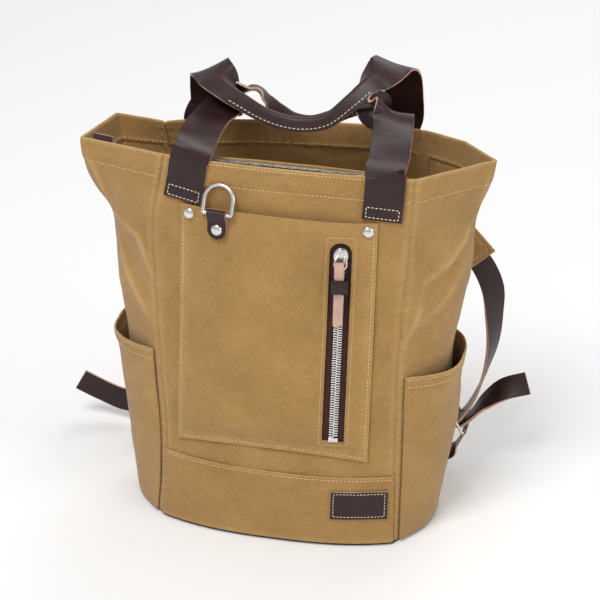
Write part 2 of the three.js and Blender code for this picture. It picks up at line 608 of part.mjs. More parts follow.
// The tab's section: two legs and a round fold over the bar, extruded across and cut to a round end
function ringTab() {
  const outer = foldRadius + THIN_LEATHER;
  const legs = -TAB_LENGTH;
  const pinch = -TAB_PINCH * TAB_LENGTH;
  const backFace = tabSeat;
  const frontLeg = tabSeat + THIN_LEATHER + GAP;
  const shape = new THREE.Shape();
  shape.moveTo(backFace, legs);
  shape.lineTo(backFace, 0);
  shape.absarc(barLift, 0, outer, Math.PI, 0, true);
  shape.lineTo(frontLeg + THIN_LEATHER, pinch);
  shape.lineTo(frontLeg + THIN_LEATHER, legs);
  shape.lineTo(frontLeg, legs);
  shape.lineTo(frontLeg, pinch);
  shape.lineTo(barLift + foldRadius, 0);
  shape.absarc(barLift, 0, foldRadius, 0, Math.PI, false);
  shape.lineTo(backFace + THIN_LEATHER, pinch);
  shape.lineTo(backFace + THIN_LEATHER, legs);
  shape.closePath();
  const fold = new THREE.ExtrudeGeometry(shape, { depth: TAB_WIDTH, bevelEnabled: false, curveSegments: 8 });
  fold.translate(0, 0, -TAB_WIDTH / 2);
  fold.rotateY(-Math.PI / 2);
  const half = TAB_WIDTH / 2;
  const outline = new THREE.Shape();
  outline.moveTo(-half, 2 * half);
  outline.lineTo(-half, legs + half);
  outline.absarc(0, legs + half, half, Math.PI, 2 * Math.PI, false);
  outline.lineTo(half, 2 * half);
  outline.closePath();
  const cutter = new THREE.ExtrudeGeometry(outline, { depth: 4 * half, bevelEnabled: false, curveSegments: 8 });
  cutter.translate(0, 0, -half);
  return geometryOf(solidOf(fold).intersect(solidOf(cutter)));
}
const tab = add('d_ring_tab', ringTab(), leather());
tab.applyMatrix4(barFrame);
const rivetDrop = BAR_DROP + TAB_RIVET_DOWN * TAB_LENGTH;
const tabTop = tabSeat + 2 * THIN_LEATHER + GAP + FACET_CLEARANCE;
rivet('tab_rivet', RING_X, FRONT_POCKET_TOP - rivetDrop, tabTop, onPocket);

// Inside the mouth: the divider behind the front panel and the zip that closes the space between them
const dividerTop = BODY_HEIGHT - DIVIDER_DROP;
const dividerMargin = DIVIDER_MARGIN / FRONT_WIDTH;
const dividerSetback = (s, t) => DIVIDER_SETBACK * (0.45 + 0.55 * bow(s)) * Math.sin((Math.PI / 2) * t);
function dividerFace(s, t) {
  const up = THREE.MathUtils.lerp(upOf(DIVIDER_BOTTOM), upOf(dividerTop), t);
  const p = frontFace(THREE.MathUtils.lerp(dividerMargin, 1 - dividerMargin, s), up);
  p.y += CANVAS + FACET_CLEARANCE + dividerSetback(s, t);
  return p;
}
add('inner_divider', slab(dividerFace, steps(0, 1, 10), steps(0, 1, 6), -CANVAS, 0), canvas());
const TAPE_DROP = 3;
function mouthFace(s, t) {
  const x = (s - 0.5) * MOUTH_ZIP_SPAN;
  const front = frontPoint(x, BODY_HEIGHT - TAPE_DROP, -CANVAS - FACET_CLEARANCE);
  const across = (onFront(x, dividerTop)[0] - dividerMargin) / (1 - 2 * dividerMargin);
  const back = dividerFace(across, 1).addScaledVector(normalOf(dividerFace, across, 1), FACET_CLEARANCE);
  back.z = dividerTop - TAPE_DROP;
  return front.lerp(back, t);
}
add('mouth_zip_tape', slab(mouthFace, steps(0, 1, 12), steps(0, 1, 2), -ZIP_TAPE, 0), tape());
const chainShare = MOUTH_CHAIN_WIDTH / DIVIDER_SETBACK / 2;
const mouthChainRows = [0.5 - chainShare, 0.5, 0.5 + chainShare];
const mouthChain = slab(mouthFace, steps(0.02, 0.98, 12), mouthChainRows, GAP, GAP + MOUTH_CHAIN_THICKNESS);
add('mouth_zip_teeth', mouthChain, nickel());

// Side pockets over the lower gussets, with a slack top edge
function sidePocket(face) {
  const sewn = SIDE_POCKET_MARGIN / (BASE_DEPTH + GUSSET_BULGE / 2);
  const top = upOf(SIDE_POCKET_TOP);
  const columns = [sewn, ...gussetColumns.filter((s) => s > sewn && s < 1 - sewn), 1 - sewn];
  const rows = [...WALL_ROWS.filter((up) => up < top - 1e-3), top];
  const lift = (s, up) => {
    const across = bow((s - sewn) / (1 - 2 * sewn));
    return 2 * FACET_CLEARANCE + SIDE_POCKET_PUFF * across * THREE.MathUtils.lerp(0.25, 1, THREE.MathUtils.smoothstep(up, 0, top));
  };
  return slab(face, columns, rows, lift, (s, up) => lift(s, up) + CANVAS);
}
add('side_pocket_left', sidePocket(leftFace), canvas());
add('side_pocket_right', sidePocket(rightFace), canvas());

// A small folded leather tab inside the left corner of the mouth, standing a little over the rim
const CORNER_TAB_RISE = 6;
const CORNER_TAB_DROP = 30;
function cornerTabFace(s, t) {
  const z = BODY_HEIGHT - CORNER_TAB_DROP + t * (CORNER_TAB_DROP + CORNER_TAB_RISE);
  const p = leftFace(THREE.MathUtils.lerp(0.57, 0.69, s), Math.min(upOf(z), 1));
  p.z += Math.max(z - BODY_HEIGHT, 0);
  return p;
}
const tabBack = -CANVAS - 3 * GAP - THIN_LEATHER;
add('corner_tab', slab(cornerTabFace, steps(0, 1, 2), steps(0, 1, 3), tabBack, tabBack + THIN_LEATHER), leather());

// Handles. Each foot lies flat on its panel; between the feet the strap follows these stations.
// across: of half the handle's span; deep: of its reach; rise: of its rise over the rim; wide and thick: of the
// strap's width and of three layers of leather; wx, wy, wz: the direction from the outer to the inner edge.
const FRONT_HANDLE = [
  { across: -0.90, deep: -1.06, rise: 0.12, wide: 1, thick: 0.33, wx: 1, wy: 0, wz: 0 },
  { across: -0.87, deep: -0.88, rise: 0.28, wide: 1, thick: 0.33, wx: 0.97, wy: 0.2, wz: 0 },
  { across: -0.84, deep: -0.60, rise: 0.37, wide: 1, thick: 0.33, wx: 0.95, wy: 0.3, wz: 0 },
  { across: -0.79, deep: -0.25, rise: 0.42, wide: 1, thick: 0.33, wx: 0.9, wy: 0.42, wz: 0 },
  { across: -0.71, deep: 0.10, rise: 0.49, wide: 1, thick: 0.33, wx: 0.75, wy: 0.65, wz: 0 },
  { across: -0.60, deep: 0.30, rise: 0.55, wide: 1, thick: 0.33, wx: 0.4, wy: 0.9, wz: -0.1 },
  { across: -0.49, deep: 0.44, rise: 0.56, wide: 1, thick: 0.33, wx: 0.1, wy: 0.95, wz: -0.3 },
  { across: -0.38, deep: 0.49, rise: 0.46, wide: 0.9, thick: 0.5, wx: 0.05, wy: 0.98, wz: -0.1 },
  { across: -0.27, deep: 0.49, rise: 0.29, wide: 0.65, thick: 0.8, wx: 0, wy: 0.85, wz: 0.5 },
  { across: -0.14, deep: 0.47, rise: 0.17, wide: 0.4, thick: 1, wx: 0, wy: 0.4, wz: 0.9 },
  { across: 0.07, deep: 0.47, rise: 0.13, wide: 0.4, thick: 1, wx: 0, wy: 0.3, wz: 0.95 },
  { across: 0.28, deep: 0.44, rise: 0.24, wide: 0.4, thick: 1, wx: 0, wy: 0.4, wz: 0.9 },
  { across: 0.47, deep: 0.37, rise: 0.42, wide: 0.5, thick: 0.9, wx: -0.1, wy: 0.7, wz: 0.7 },
  { across: 0.62, deep: 0.28, rise: 0.57, wide: 0.85, thick: 0.5, wx: -0.25, wy: 0.9, wz: 0.3 },
  { across: 0.79, deep: 0.00, rise: 0.59, wide: 1, thick: 0.33, wx: -0.5, wy: 0.85, wz: 0 },
  { across: 0.92, deep: -0.30, rise: 0.66, wide: 1, thick: 0.33, wx: -0.78, wy: 0.55, wz: 0 },
  { across: 1.01, deep: -0.46, rise: 0.74, wide: 1, thick: 0.33, wx: -0.9, wy: 0.2, wz: 0.2 },
  { across: 1.03, deep: -0.60, rise: 0.68, wide: 1, thick: 0.33, wx: -0.96, wy: 0.15, wz: 0.2 },
  { across: 1.035, deep: -0.80, rise: 0.44, wide: 1, thick: 0.33, wx: -0.99, wy: 0.08, wz: 0.05 },
  { across: 1.03, deep: -0.95, rise: 0.22, wide: 1, thick: 0.33, wx: -1, wy: 0, wz: 0 },
  { across: 1.01, deep: -1.06, rise: 0.08, wide: 1, thick: 0.33, wx: -1, wy: 0, wz: 0 },
];
const BACK_HANDLE = [
  { across: -1.0, deep: 0.85, rise: 0.14, wide: 1, thick: 0.33, wx: 1, wy: 0.24, wz: 0.1 },
  { across: -0.99, deep: 0.78, rise: 0.45, wide: 1, thick: 0.33, wx: 0.97, wy: 0.12, wz: 0.25 },
  { across: -0.96, deep: 0.60, rise: 0.72, wide: 1, thick: 0.33, wx: 0.9, wy: 0.1, wz: 0.4 },
  { across: -0.90, deep: 0.33, rise: 0.85, wide: 1, thick: 0.33, wx: 0.85, wy: 0.2, wz: 0.48 },
  { across: -0.80, deep: 0.05, rise: 0.85, wide: 1, thick: 0.33, wx: 0.65, wy: 0.55, wz: 0.5 },
  { across: -0.66, deep: -0.12, rise: 0.74, wide: 0.9, thick: 0.4, wx: 0.35, wy: 0.75, wz: 0.55 },
  { across: -0.49, deep: -0.17, rise: 0.57, wide: 0.6, thick: 0.75, wx: 0.1, wy: 0.65, wz: 0.75 },
  { across: -0.28, deep: -0.18, rise: 0.41, wide: 0.37, thick: 1, wx: 0, wy: 0.35, wz: 0.93 },
  { across: 0.04, deep: -0.18, rise: 0.32, wide: 0.37, thick: 1, wx: 0, wy: 0.3, wz: 0.95 },
  { across: 0.35, deep: -0.17, rise: 0.41, wide: 0.37, thick: 1, wx: 0, wy: 0.35, wz: 0.93 },
  { across: 0.58, deep: -0.05, rise: 0.70, wide: 0.55, thick: 0.8, wx: -0.25, wy: 0.55, wz: 0.8 },
  { across: 0.74, deep: 0.15, rise: 0.97, wide: 0.9, thick: 0.4, wx: -0.6, wy: 0.6, wz: 0.5 },
  { across: 0.85, deep: 0.25, rise: 1.07, wide: 1, thick: 0.33, wx: -0.85, wy: 0.35, wz: 0.35 },
  { across: 0.93, deep: 0.55, rise: 1.09, wide: 1, thick: 0.33, wx: -0.96, wy: 0.1, wz: 0.22 },
  { across: 0.98, deep: 0.82, rise: 0.88, wide: 1, thick: 0.33, wx: -0.99, wy: 0, wz: 0.08 },
  { across: 1.0, deep: 0.97, rise: 0.50, wide: 1, thick: 0.33, wx: -1, wy: 0, wz: 0 },
  { across: 1.0, deep: 1.08, rise: 0.16, wide: 1, thick: 0.33, wx: -1, wy: 0, wz: 0 },
];
const HANDLE_LAYERS = 3;

// A flat band resting on a bowed panel: its edges stand off by as much as the panel bows under it
function restOn(panelPoint, x, z, width, thick, dx = 1, dz = 0) {
  const lift = FACET_CLEARANCE + thick / 2;
  const point = (share) => panelPoint(x + share * width * dx, z + share * width * dz, lift);
  const [left, middle, right] = [-0.5, 0, 0.5].map(point);
  const chord = left.clone().lerp(right, 0.5);
  return { centre: chord.add(middle.sub(chord).multiplyScalar(2)), across: right.sub(left).normalize() };
}

function handle(table, shift, panelPoint, panelSeams) {
  const share = (side) => (
    shareAcross(...panelSeams, shift + (side * HANDLE_SPAN) / 2, upOf(BODY_HEIGHT - HANDLE_FOOT))
  );
  const foot = (side, z) => {
    const [left, right] = panelSeams.map((name) => section(name, upOf(z)) * HALF_WIDTH);
    const x = THREE.MathUtils.lerp(left, right, share(side));
    const rest = restOn(panelPoint, x, z, HANDLE_WIDTH, LEATHER);
    return { centre: rest.centre, across: rest.across.multiplyScalar(-side), width: HANDLE_WIDTH, thick: LEATHER };
  };
  const footHeights = [BODY_HEIGHT - HANDLE_FOOT, BODY_HEIGHT - HANDLE_FOOT / 2, BODY_HEIGHT];
  const free = table.map((row) => ({
    centre: new THREE.Vector3(
      shift + (row.across * HANDLE_SPAN) / 2, row.deep * HANDLE_REACH, BODY_HEIGHT + row.rise * HANDLE_RISE,
    ),
    across: new THREE.Vector3(row.wx, row.wy, row.wz).normalize(),
    width: row.wide * HANDLE_WIDTH,
    thick: Math.max(row.thick * HANDLE_LAYERS, 1) * LEATHER,
  }));
  const rows = [...footHeights.map((z) => foot(-1, z)), ...free, ...footHeights.reverse().map((z) => foot(1, z))];
  return sweep(refine(rows, 2 * rows.length));
}
add('front_handle', handle(FRONT_HANDLE, FRONT_HANDLE_SHIFT, frontPoint, ['frontLeft', 'frontRight']), leather());
add('back_handle', handle(BACK_HANDLE, BACK_HANDLE_SHIFT, backPoint, ['backLeft', 'backRight']), leather());

// Shoulder straps. across: of the strap's reach, mirrored for the left; behind: of its setback behind the base;
// height: of the body's height.
const PAD = [
  { across: 0.25, behind: 0, height: 0.82, wx: 0.6, wy: 0, wz: 0.8 },
  { across: 0.44, behind: 0.35, height: 0.77, wx: 0.62, wy: 0, wz: 0.78 },
  { across: 0.63, behind: 0.55, height: 0.695, wx: 0.66, wy: 0, wz: 0.75 },
  { across: 0.80, behind: 0.66, height: 0.600, wx: 0.7, wy: 0, wz: 0.7 },
];
const STRAPS = {
  right: {
    sign: 1,
    buckle: { across: 0.77, behind: 0.67, height: 0.143 },
    upper: [
      { across: 0.76, behind: 0.87, height: 0.645, wx: 0.7, wy: 0, wz: 0.7 },
      { across: 0.84, behind: 0.9, height: 0.595, wx: 0.8, wy: 0.2, wz: 0.5 },
      { across: 0.895, behind: 0.93, height: 0.53, wx: 0.8, wy: 0.5, wz: 0.25 },
      { across: 0.91, behind: 0.95, height: 0.455, wx: 0.6, wy: 0.78, wz: 0.1 },
      { across: 0.912, behind: 0.93, height: 0.37, wx: 0.35, wy: 0.92, wz: 0 },
      { across: 0.885, behind: 0.85, height: 0.29, wx: 0.1, wy: 1, wz: 0 },
      { across: 0.84, behind: 0.72, height: 0.215, wx: 0, wy: 1, wz: 0 },
    ],
    tail: [
      { across: 0.83, behind: 0.74, height: 0.158, wx: 0, wy: 1, wz: 0.05 },
      { across: 0.89, behind: 0.87, height: 0.195, wx: 0, wy: 0.9, wz: 0.4 },
      { across: 0.985, behind: 1.0, height: 0.235, wx: 0, wy: 0.65, wz: 0.75 },
      { across: 1.10, behind: 1.1, height: 0.257, wx: 0, wy: 0.5, wz: 0.85 },
    ],
  },
  left: {
    sign: -1,
    buckle: { across: 0.78, behind: 0.67, height: 0.12 },
    upper: [
      { across: 0.75, behind: 0.86, height: 0.65, wx: 0.7, wy: 0, wz: 0.7 },
      { across: 0.84, behind: 0.9, height: 0.607, wx: 0.8, wy: 0.2, wz: 0.5 },
      { across: 0.915, behind: 0.93, height: 0.53, wx: 0.8, wy: 0.5, wz: 0.25 },
      { across: 0.965, behind: 0.95, height: 0.42, wx: 0.55, wy: 0.8, wz: 0.1 },
      { across: 0.995, behind: 0.93, height: 0.29, wx: 0.3, wy: 0.95, wz: 0 },
      { across: 0.97, behind: 0.85, height: 0.21, wx: 0.1, wy: 1, wz: 0 },
      { across: 0.89, behind: 0.72, height: 0.165, wx: 0, wy: 1, wz: 0 },
    ],
    tail: [
      { across: 0.84, behind: 0.78, height: 0.096, wx: 0, wy: 1, wz: 0.2 },
      { across: 0.92, behind: 0.95, height: 0.074, wx: 0, wy: 0.75, wz: 0.65 },
      { across: 1.02, behind: 1.05, height: 0.063, wx: 0, wy: 0.2, wz: 0.95 },
      { across: 1.14, behind: 1.0, height: 0.085, wx: 0, wy: 0, wz: 1 },
      { across: 1.255, behind: 0.85, height: 0.118, wx: 0, wy: 0, wz: 1 },
    ],
  },
};
const BUCKLE_DEPTH = 22;
const BUCKLE_TILT = THREE.MathUtils.degToRad(60);
const LOWER_WIDTH = 20;
const LOWER_HEIGHT = 18;

function buckleFrame(strap) {
  const { across, behind, height } = strap.buckle;
  const centre = new THREE.Vector3(
    strap.sign * across * STRAP_REACH, HALF_DEPTH + behind * STRAP_SETBACK, height * BODY_HEIGHT,
  );
  const down = new THREE.Vector3(strap.sign * Math.cos(BUCKLE_TILT), 0, -Math.sin(BUCKLE_TILT));
  const out = new THREE.Vector3(strap.sign * Math.sin(BUCKLE_TILT), 0, Math.cos(BUCKLE_TILT));
  const at = (d, o) => centre.clone().addScaledVector(down, d).addScaledVector(out, o);
  return { centre, down, out, at };
}

function strapStations(strap, rows, width, thick) {
  return rows.map((row) => ({
    centre: new THREE.Vector3(
      strap.sign * row.across * STRAP_REACH, HALF_DEPTH + row.behind * STRAP_SETBACK, row.height * BODY_HEIGHT,
    ),
    across: new THREE.Vector3(strap.sign * row.wx, row.wy, row.wz),
    width,
    thick,
  }));
}

function shoulderPad(strap) {
  const rows = strapStations(strap, PAD, PAD_WIDTH, PAD_THICKNESS);
  const { centre, across } = rows[0];
  const room = PAD_THICKNESS + 2 * FACET_CLEARANCE;
  Object.assign(rows[0], restOn(backPoint, centre.x, centre.z, PAD_WIDTH, room, across.x, across.z));
  return sweep(refine(rows, 8));
}

function shoulderStrap(strap) {
  const { at } = buckleFrame(strap);
  const across = new THREE.Vector3(0, 1, 0);
  const turn = (BUCKLE_WIRE + STRAP_THICKNESS) / 2 + GAP;
  const wrap = [
    at(-turn, turn), at(-turn, 0), at(-0.7 * turn, -0.7 * turn), at(0, -turn),
    at(0.7 * turn, -0.7 * turn), at(turn, 0), at(turn, turn),
  ].map((centre) => ({ centre, across, width: STRAP_WIDTH, thick: STRAP_THICKNESS }));
  const upper = refine(strapStations(strap, strap.upper, STRAP_WIDTH, STRAP_THICKNESS), 18);
  const tail = refine(strapStations(strap, strap.tail, STRAP_WIDTH, STRAP_THICKNESS), 8);
  return sweep([...upper, ...wrap, ...tail]);
}

// The buckle: a wire frame with a middle bar, its long side across the strap
function buckle(strap) {
  const { centre, down } = buckleFrame(strap);
  const half = STRAP_WIDTH / 2 + BUCKLE_WIRE / 2 + 2 * GAP;
  const bars = [-1, 0, 1].map((row) => {
    const bar = new THREE.CylinderGeometry(BUCKLE_WIRE / 2, BUCKLE_WIRE / 2, 2 * half, 8);
    const offset = down.clone().multiplyScalar((row * BUCKLE_DEPTH) / 2).add(centre);
    bar.translate(offset.x, offset.y, offset.z);
    return bar;
  });
  const sides = [-1, 1].map((side) => {
    const bar = new THREE.CylinderGeometry(BUCKLE_WIRE / 2, BUCKLE_WIRE / 2, BUCKLE_DEPTH + BUCKLE_WIRE, 8);
    bar.rotateY(Math.PI / 8);
    bar.applyQuaternion(new THREE.Quaternion().setFromUnitVectors(new THREE.Vector3(0, 1, 0), down));
    bar.translate(centre.x, centre.y + side * half, centre.z);
    return bar;
  });
  return geometryOf([...bars, ...sides].map(solidOf).reduce((a, b) => a.add(b)));
}

// The lower strap: from the buckle's lower bar down to the bottom of the back panel, beside the gusset.
// across: of half the front width; behind and height: as above; turn: from flat across Y to standing on edge.
const LOWER = [
  { across: 1.30, behind: 0.60, height: 0.080, turn: 0 },
  { across: 1.25, behind: 0.53, height: 0.055, turn: 0.3 },
  { across: 1.13, behind: 0.40, height: 0.046, turn: 0.7 },
];
const LOWER_SEATED = [0.93, 0.75];

function lowerStrap(strap) {
  const { at } = buckleFrame(strap);
  const bar = BUCKLE_DEPTH / 2;
  const hug = BUCKLE_WIRE / 2 + FACET_CLEARANCE + THIN_LEATHER / 2;
  const y = new THREE.Vector3(0, 1, 0);
  const z = new THREE.Vector3(0, 0, 1);
  const station = (centre, across) => ({ centre, across, width: LOWER_WIDTH, thick: THIN_LEATHER });
  const loop = [at(bar - 0.7 * hug, 0.7 * hug), at(bar, hug), at(bar + 0.7 * hug, 0.7 * hug), at(bar + hug, 0)];
  const head = loop.map((centre) => station(centre, y));
  const free = LOWER.map((row) => station(
    new THREE.Vector3(
      strap.sign * row.across * HALF_WIDTH, HALF_DEPTH + row.behind * STRAP_SETBACK, row.height * BODY_HEIGHT,
    ),
    y.clone().lerp(z, row.turn),
  ));
  const seated = LOWER_SEATED.map((share) => (
    station(backPoint(strap.sign * share * HALF_WIDTH, LOWER_HEIGHT, GAP + THIN_LEATHER), z)
  ));
  return sweep([...head, ...refine([...free, ...seated], 12)]);
}

for (const [side, strap] of Object.entries(STRAPS)) {
  add(`shoulder_pad_${side}`, shoulderPad(strap), canvas());
  add(`shoulder_strap_${side}`, shoulderStrap(strap), leather());
  add(`strap_buckle_${side}`, buckle(strap), nickel());
  add(`lower_strap_${side}`, lowerStrap(strap), leather());
}

export default bag;
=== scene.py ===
# %% [markdown]
# # A canvas backpack with leather handles
# The real bag is heavy cotton duck sewn from flat panels, with bridle leather handles and straps, brass zips
# plated in nickel, and a wire D-ring. The solids of every part already exist, so this script dresses them:
# each soft part is sewn again from a flat pattern, in the same place, with its folds, seams and stitches.

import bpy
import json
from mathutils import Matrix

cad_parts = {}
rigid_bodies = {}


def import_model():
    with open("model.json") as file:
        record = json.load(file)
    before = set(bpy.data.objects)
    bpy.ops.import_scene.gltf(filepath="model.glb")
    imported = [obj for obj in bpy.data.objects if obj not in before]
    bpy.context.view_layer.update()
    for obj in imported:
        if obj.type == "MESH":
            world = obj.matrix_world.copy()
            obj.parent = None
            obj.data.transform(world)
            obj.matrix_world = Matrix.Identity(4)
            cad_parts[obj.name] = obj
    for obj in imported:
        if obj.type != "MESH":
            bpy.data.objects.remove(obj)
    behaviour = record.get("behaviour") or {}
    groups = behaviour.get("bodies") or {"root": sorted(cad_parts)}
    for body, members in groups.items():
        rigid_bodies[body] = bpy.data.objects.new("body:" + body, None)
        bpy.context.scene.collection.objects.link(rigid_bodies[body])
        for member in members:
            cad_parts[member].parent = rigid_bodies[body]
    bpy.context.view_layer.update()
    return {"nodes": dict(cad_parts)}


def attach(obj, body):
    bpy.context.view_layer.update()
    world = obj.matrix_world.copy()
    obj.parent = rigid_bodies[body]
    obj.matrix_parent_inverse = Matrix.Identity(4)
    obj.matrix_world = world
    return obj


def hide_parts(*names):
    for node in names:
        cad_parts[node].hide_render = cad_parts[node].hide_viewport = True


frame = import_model()

import json
import math

import bmesh
import bpy
import numpy as np
from mathutils import Matrix, Vector

MM = 0.001
print("nodes in the frame:", len(frame["nodes"]))

# %% [markdown]
# ## Camera, floor and light
# A product photograph uses a long lens, so that upright edges stay nearly parallel. The camera stands 2.4 m away,
# a little to the right and 27 degrees up. It could be placed by hand in the viewport, but numbers keep it the same
# on every run. The picture leans by about one degree, as the photographer's camera did.

# %% Camera
AZIMUTH, ELEVATION, LEAN = math.radians(11.5), math.radians(27), math.radians(1.2)
DISTANCE, AIM = 2.4, Vector((0, 0, 0.2))
backward = Vector((
    math.sin(AZIMUTH) * math.cos(ELEVATION), -math.cos(AZIMUTH) * math.cos(ELEVATION), math.sin(ELEVATION)))
level = Vector((math.cos(AZIMUTH), math.sin(AZIMUTH), 0))
upright = backward.cross(level)
camera_right = level * math.cos(LEAN) + upright * math.sin(LEAN)
camera_up = backward.cross(camera_right)

lens = bpy.data.cameras.new("photo_camera")
lens.lens, lens.sensor_width = 144, 36
lens.shift_x, lens.shift_y = 0.0062, 0.0332
camera = bpy.data.objects.new("photo_camera", lens)
bpy.context.scene.collection.objects.link(camera)
camera.matrix_world = Matrix.Translation(AIM + backward * DISTANCE) @ Matrix(
    (camera_right, camera_up, backward)).transposed().to_4x4()
bpy.context.scene.camera = camera
print("camera at", [round(x, 3) for x in camera.matrix_world.translation])

# %% [markdown]
# The light is a large soft box high in front, a weaker one on the right, and a white room round the bag. The
# floor is one pale sheet, large enough that its end isn't seen from any side.

# %% Floor and lights
scene = bpy.context.scene
scene.view_settings.view_transform = "Standard"
world = bpy.data.worlds.new("white_room")
world.use_nodes = True
world.node_tree.nodes["Background"].inputs["Color"].default_value = (1, 1, 1, 1)
world.node_tree.nodes["Background"].inputs["Strength"].default_value = 0.56
scene.world = world


def soft_box(name, place, aim, size, watts):
    light = bpy.data.lights.new(name, "AREA")
    light.shape, light.size, light.energy = "SQUARE", size, watts
    box = bpy.data.objects.new(name, light)
    box.location = place
    box.rotation_euler = (Vector(aim) - Vector(place)).to_track_quat("-Z", "Y").to_euler()
    scene.collection.objects.link(box)
    return box


soft_box("key_light", (-0.5, -1.5, 2.6), (0, 0, 0.25), 1.1, 46)
soft_box("fill_light", (2.4, -0.9, 1.3), (0, 0, 0.25), 1.4, 16)
soft_box("back_light", (0.4, 2.2, 2.2), (0, 0, 0.25), 1.6, 20)

floor_shape = bmesh.new()
bmesh.ops.create_grid(floor_shape, x_segments=1, y_segments=1, size=12)
floor_mesh = bpy.data.meshes.new("floor")
floor_shape.to_mesh(floor_mesh)
floor_shape.free()
floor = bpy.data.objects.new("floor", floor_mesh)
scene.collection.objects.link(floor)

# %% [markdown]
# ## A small kit for finishes
# A finish is a node tree, and node trees are long to write. The class Value wraps a socket, so that maths on it
# reads like maths, and each operator adds its Math node. The class Finish holds one material and adds every other
# node by one method. Everything reads the flat pattern's UV map or Object coordinates, so it holds still.

# %% Values and finishes


class Value:
    def __init__(self, finish, socket):
        self.finish, self.socket = finish, socket

    def maths(self, operation, a, b=0.0):
        return self.finish.node("ShaderNodeMath", {"operation": operation}, {0: a, 1: b})

    def __add__(self, other):
        return self.maths("ADD", self, other)

    def __sub__(self, other):
        return self.maths("SUBTRACT", self, other)

    def __rsub__(self, other):
        return self.maths("SUBTRACT", other, self)

    def __mul__(self, other):
        return self.maths("MULTIPLY", self, other)

    def __truediv__(self, other):
        return self.maths("DIVIDE", self, other)

    def __pow__(self, other):
        return self.maths("POWER", self, other)

    __radd__, __rmul__ = __add__, __mul__

    def sine(self):
        return self.maths("SINE", self)

    def clamp(self):
        return self.finish.node("ShaderNodeClamp", {}, {"Value": self})


class Finish:
    def __init__(self, name, colour, **constants):
        self.material = bpy.data.materials.new(name)
        self.material.use_nodes = True
        self.material.diffuse_color = (*colour, 1)
        self.tree = self.material.node_tree
        self.shader = self.tree.nodes["Principled BSDF"]
        self.shader.inputs["Base Color"].default_value = (*colour, 1)
        for socket, value in constants.items():
            self.shader.inputs[socket.replace("_", " ")].default_value = value

    def node(self, kind, settings, inputs, out=0):
        made = self.tree.nodes.new(kind)
        for key, value in settings.items():
            if key == "stops":
                for element, (position, shade) in zip(made.color_ramp.elements, value):
                    element.position, element.color = position, (shade, shade, shade, 1)
            else:
                setattr(made, key, value)
        for key, value in inputs.items():
            if isinstance(value, Value):
                self.tree.links.new(value.socket, made.inputs[key])
            else:
                made.inputs[key].default_value = value
        return Value(self, made.outputs[out])

    def feed(self, socket, value):
        self.tree.links.new(value.socket, self.shader.inputs[socket])

    def pattern(self):
        """The flat pattern's coordinates across and along, in millimetres."""
        uv = self.node("ShaderNodeUVMap", {"uv_map": "pattern"}, {})
        scaled = self.node("ShaderNodeVectorMath", {"operation": "SCALE"}, {0: uv, "Scale": 1000.0})
        return scaled, [self.node("ShaderNodeSeparateXYZ", {}, {0: scaled}, out) for out in (0, 1)]

    def place(self):
        """Object coordinates in millimetres, for hard parts."""
        where = self.node("ShaderNodeTexCoord", {}, {}, 3)
        return self.node("ShaderNodeVectorMath", {"operation": "SCALE"}, {0: where, "Scale": 1000.0})

    def stretch(self, vector, *scale):
        return self.node("ShaderNodeMapping", {}, {0: vector, "Scale": scale})

    def noise(self, vector, size, detail=3.0, rough=0.5):
        """Noise from 0 to 1 whose blobs are about size millimetres."""
        return self.node("ShaderNodeTexNoise", {}, {
            "Vector": vector, "Scale": 1.0 / size, "Detail": detail, "Roughness": rough})

    def spread(self, value, low, high):
        """Pulls the values between low and high out to 0 and 1."""
        return self.node("ShaderNodeMapRange", {}, {0: value, 1: low, 2: high})

    def mix(self, factor, a, b):
        return self.node("ShaderNodeMix", {"data_type": "RGBA"}, {0: factor, 6: a, 7: b}, 2)

    def attribute(self, name):
        return self.node("ShaderNodeAttribute", {"attribute_name": name}, {}, 2)

    def relief(self, height, depth):
        """A bump of depth millimetres from a height of 0 to 1."""
        self.feed("Normal", self.node("ShaderNodeBump", {}, {"Distance": depth * MM, "Height": height}))


def rgb(red, green, blue):
    """A colour read as screen numbers from 0 to 255, turned to the linear values that shaders use."""
    return tuple(((c / 255 + 0.055) / 1.055) ** 2.4 if c > 10 else c / 255 / 12.92 for c in (red, green, blue))


print("linear canvas colour:", [round(c, 3) for c in rgb(176, 142, 88)])

# %% [markdown]
# ## Canvas
# Heavy duck is a plain weave: each thread goes over one and under the next. A picture of cloth would do, but two
# crossed sine waves give a weave that never runs out of detail. Long slubs in both directions and broad faded
# patches keep it from looking printed. The cloth is paler where it is worn, at the folded rim, hems and seams, and
# a painted highlight lightens the crests of creases and ripples.

# %% Canvas finish
THREAD = 0.95


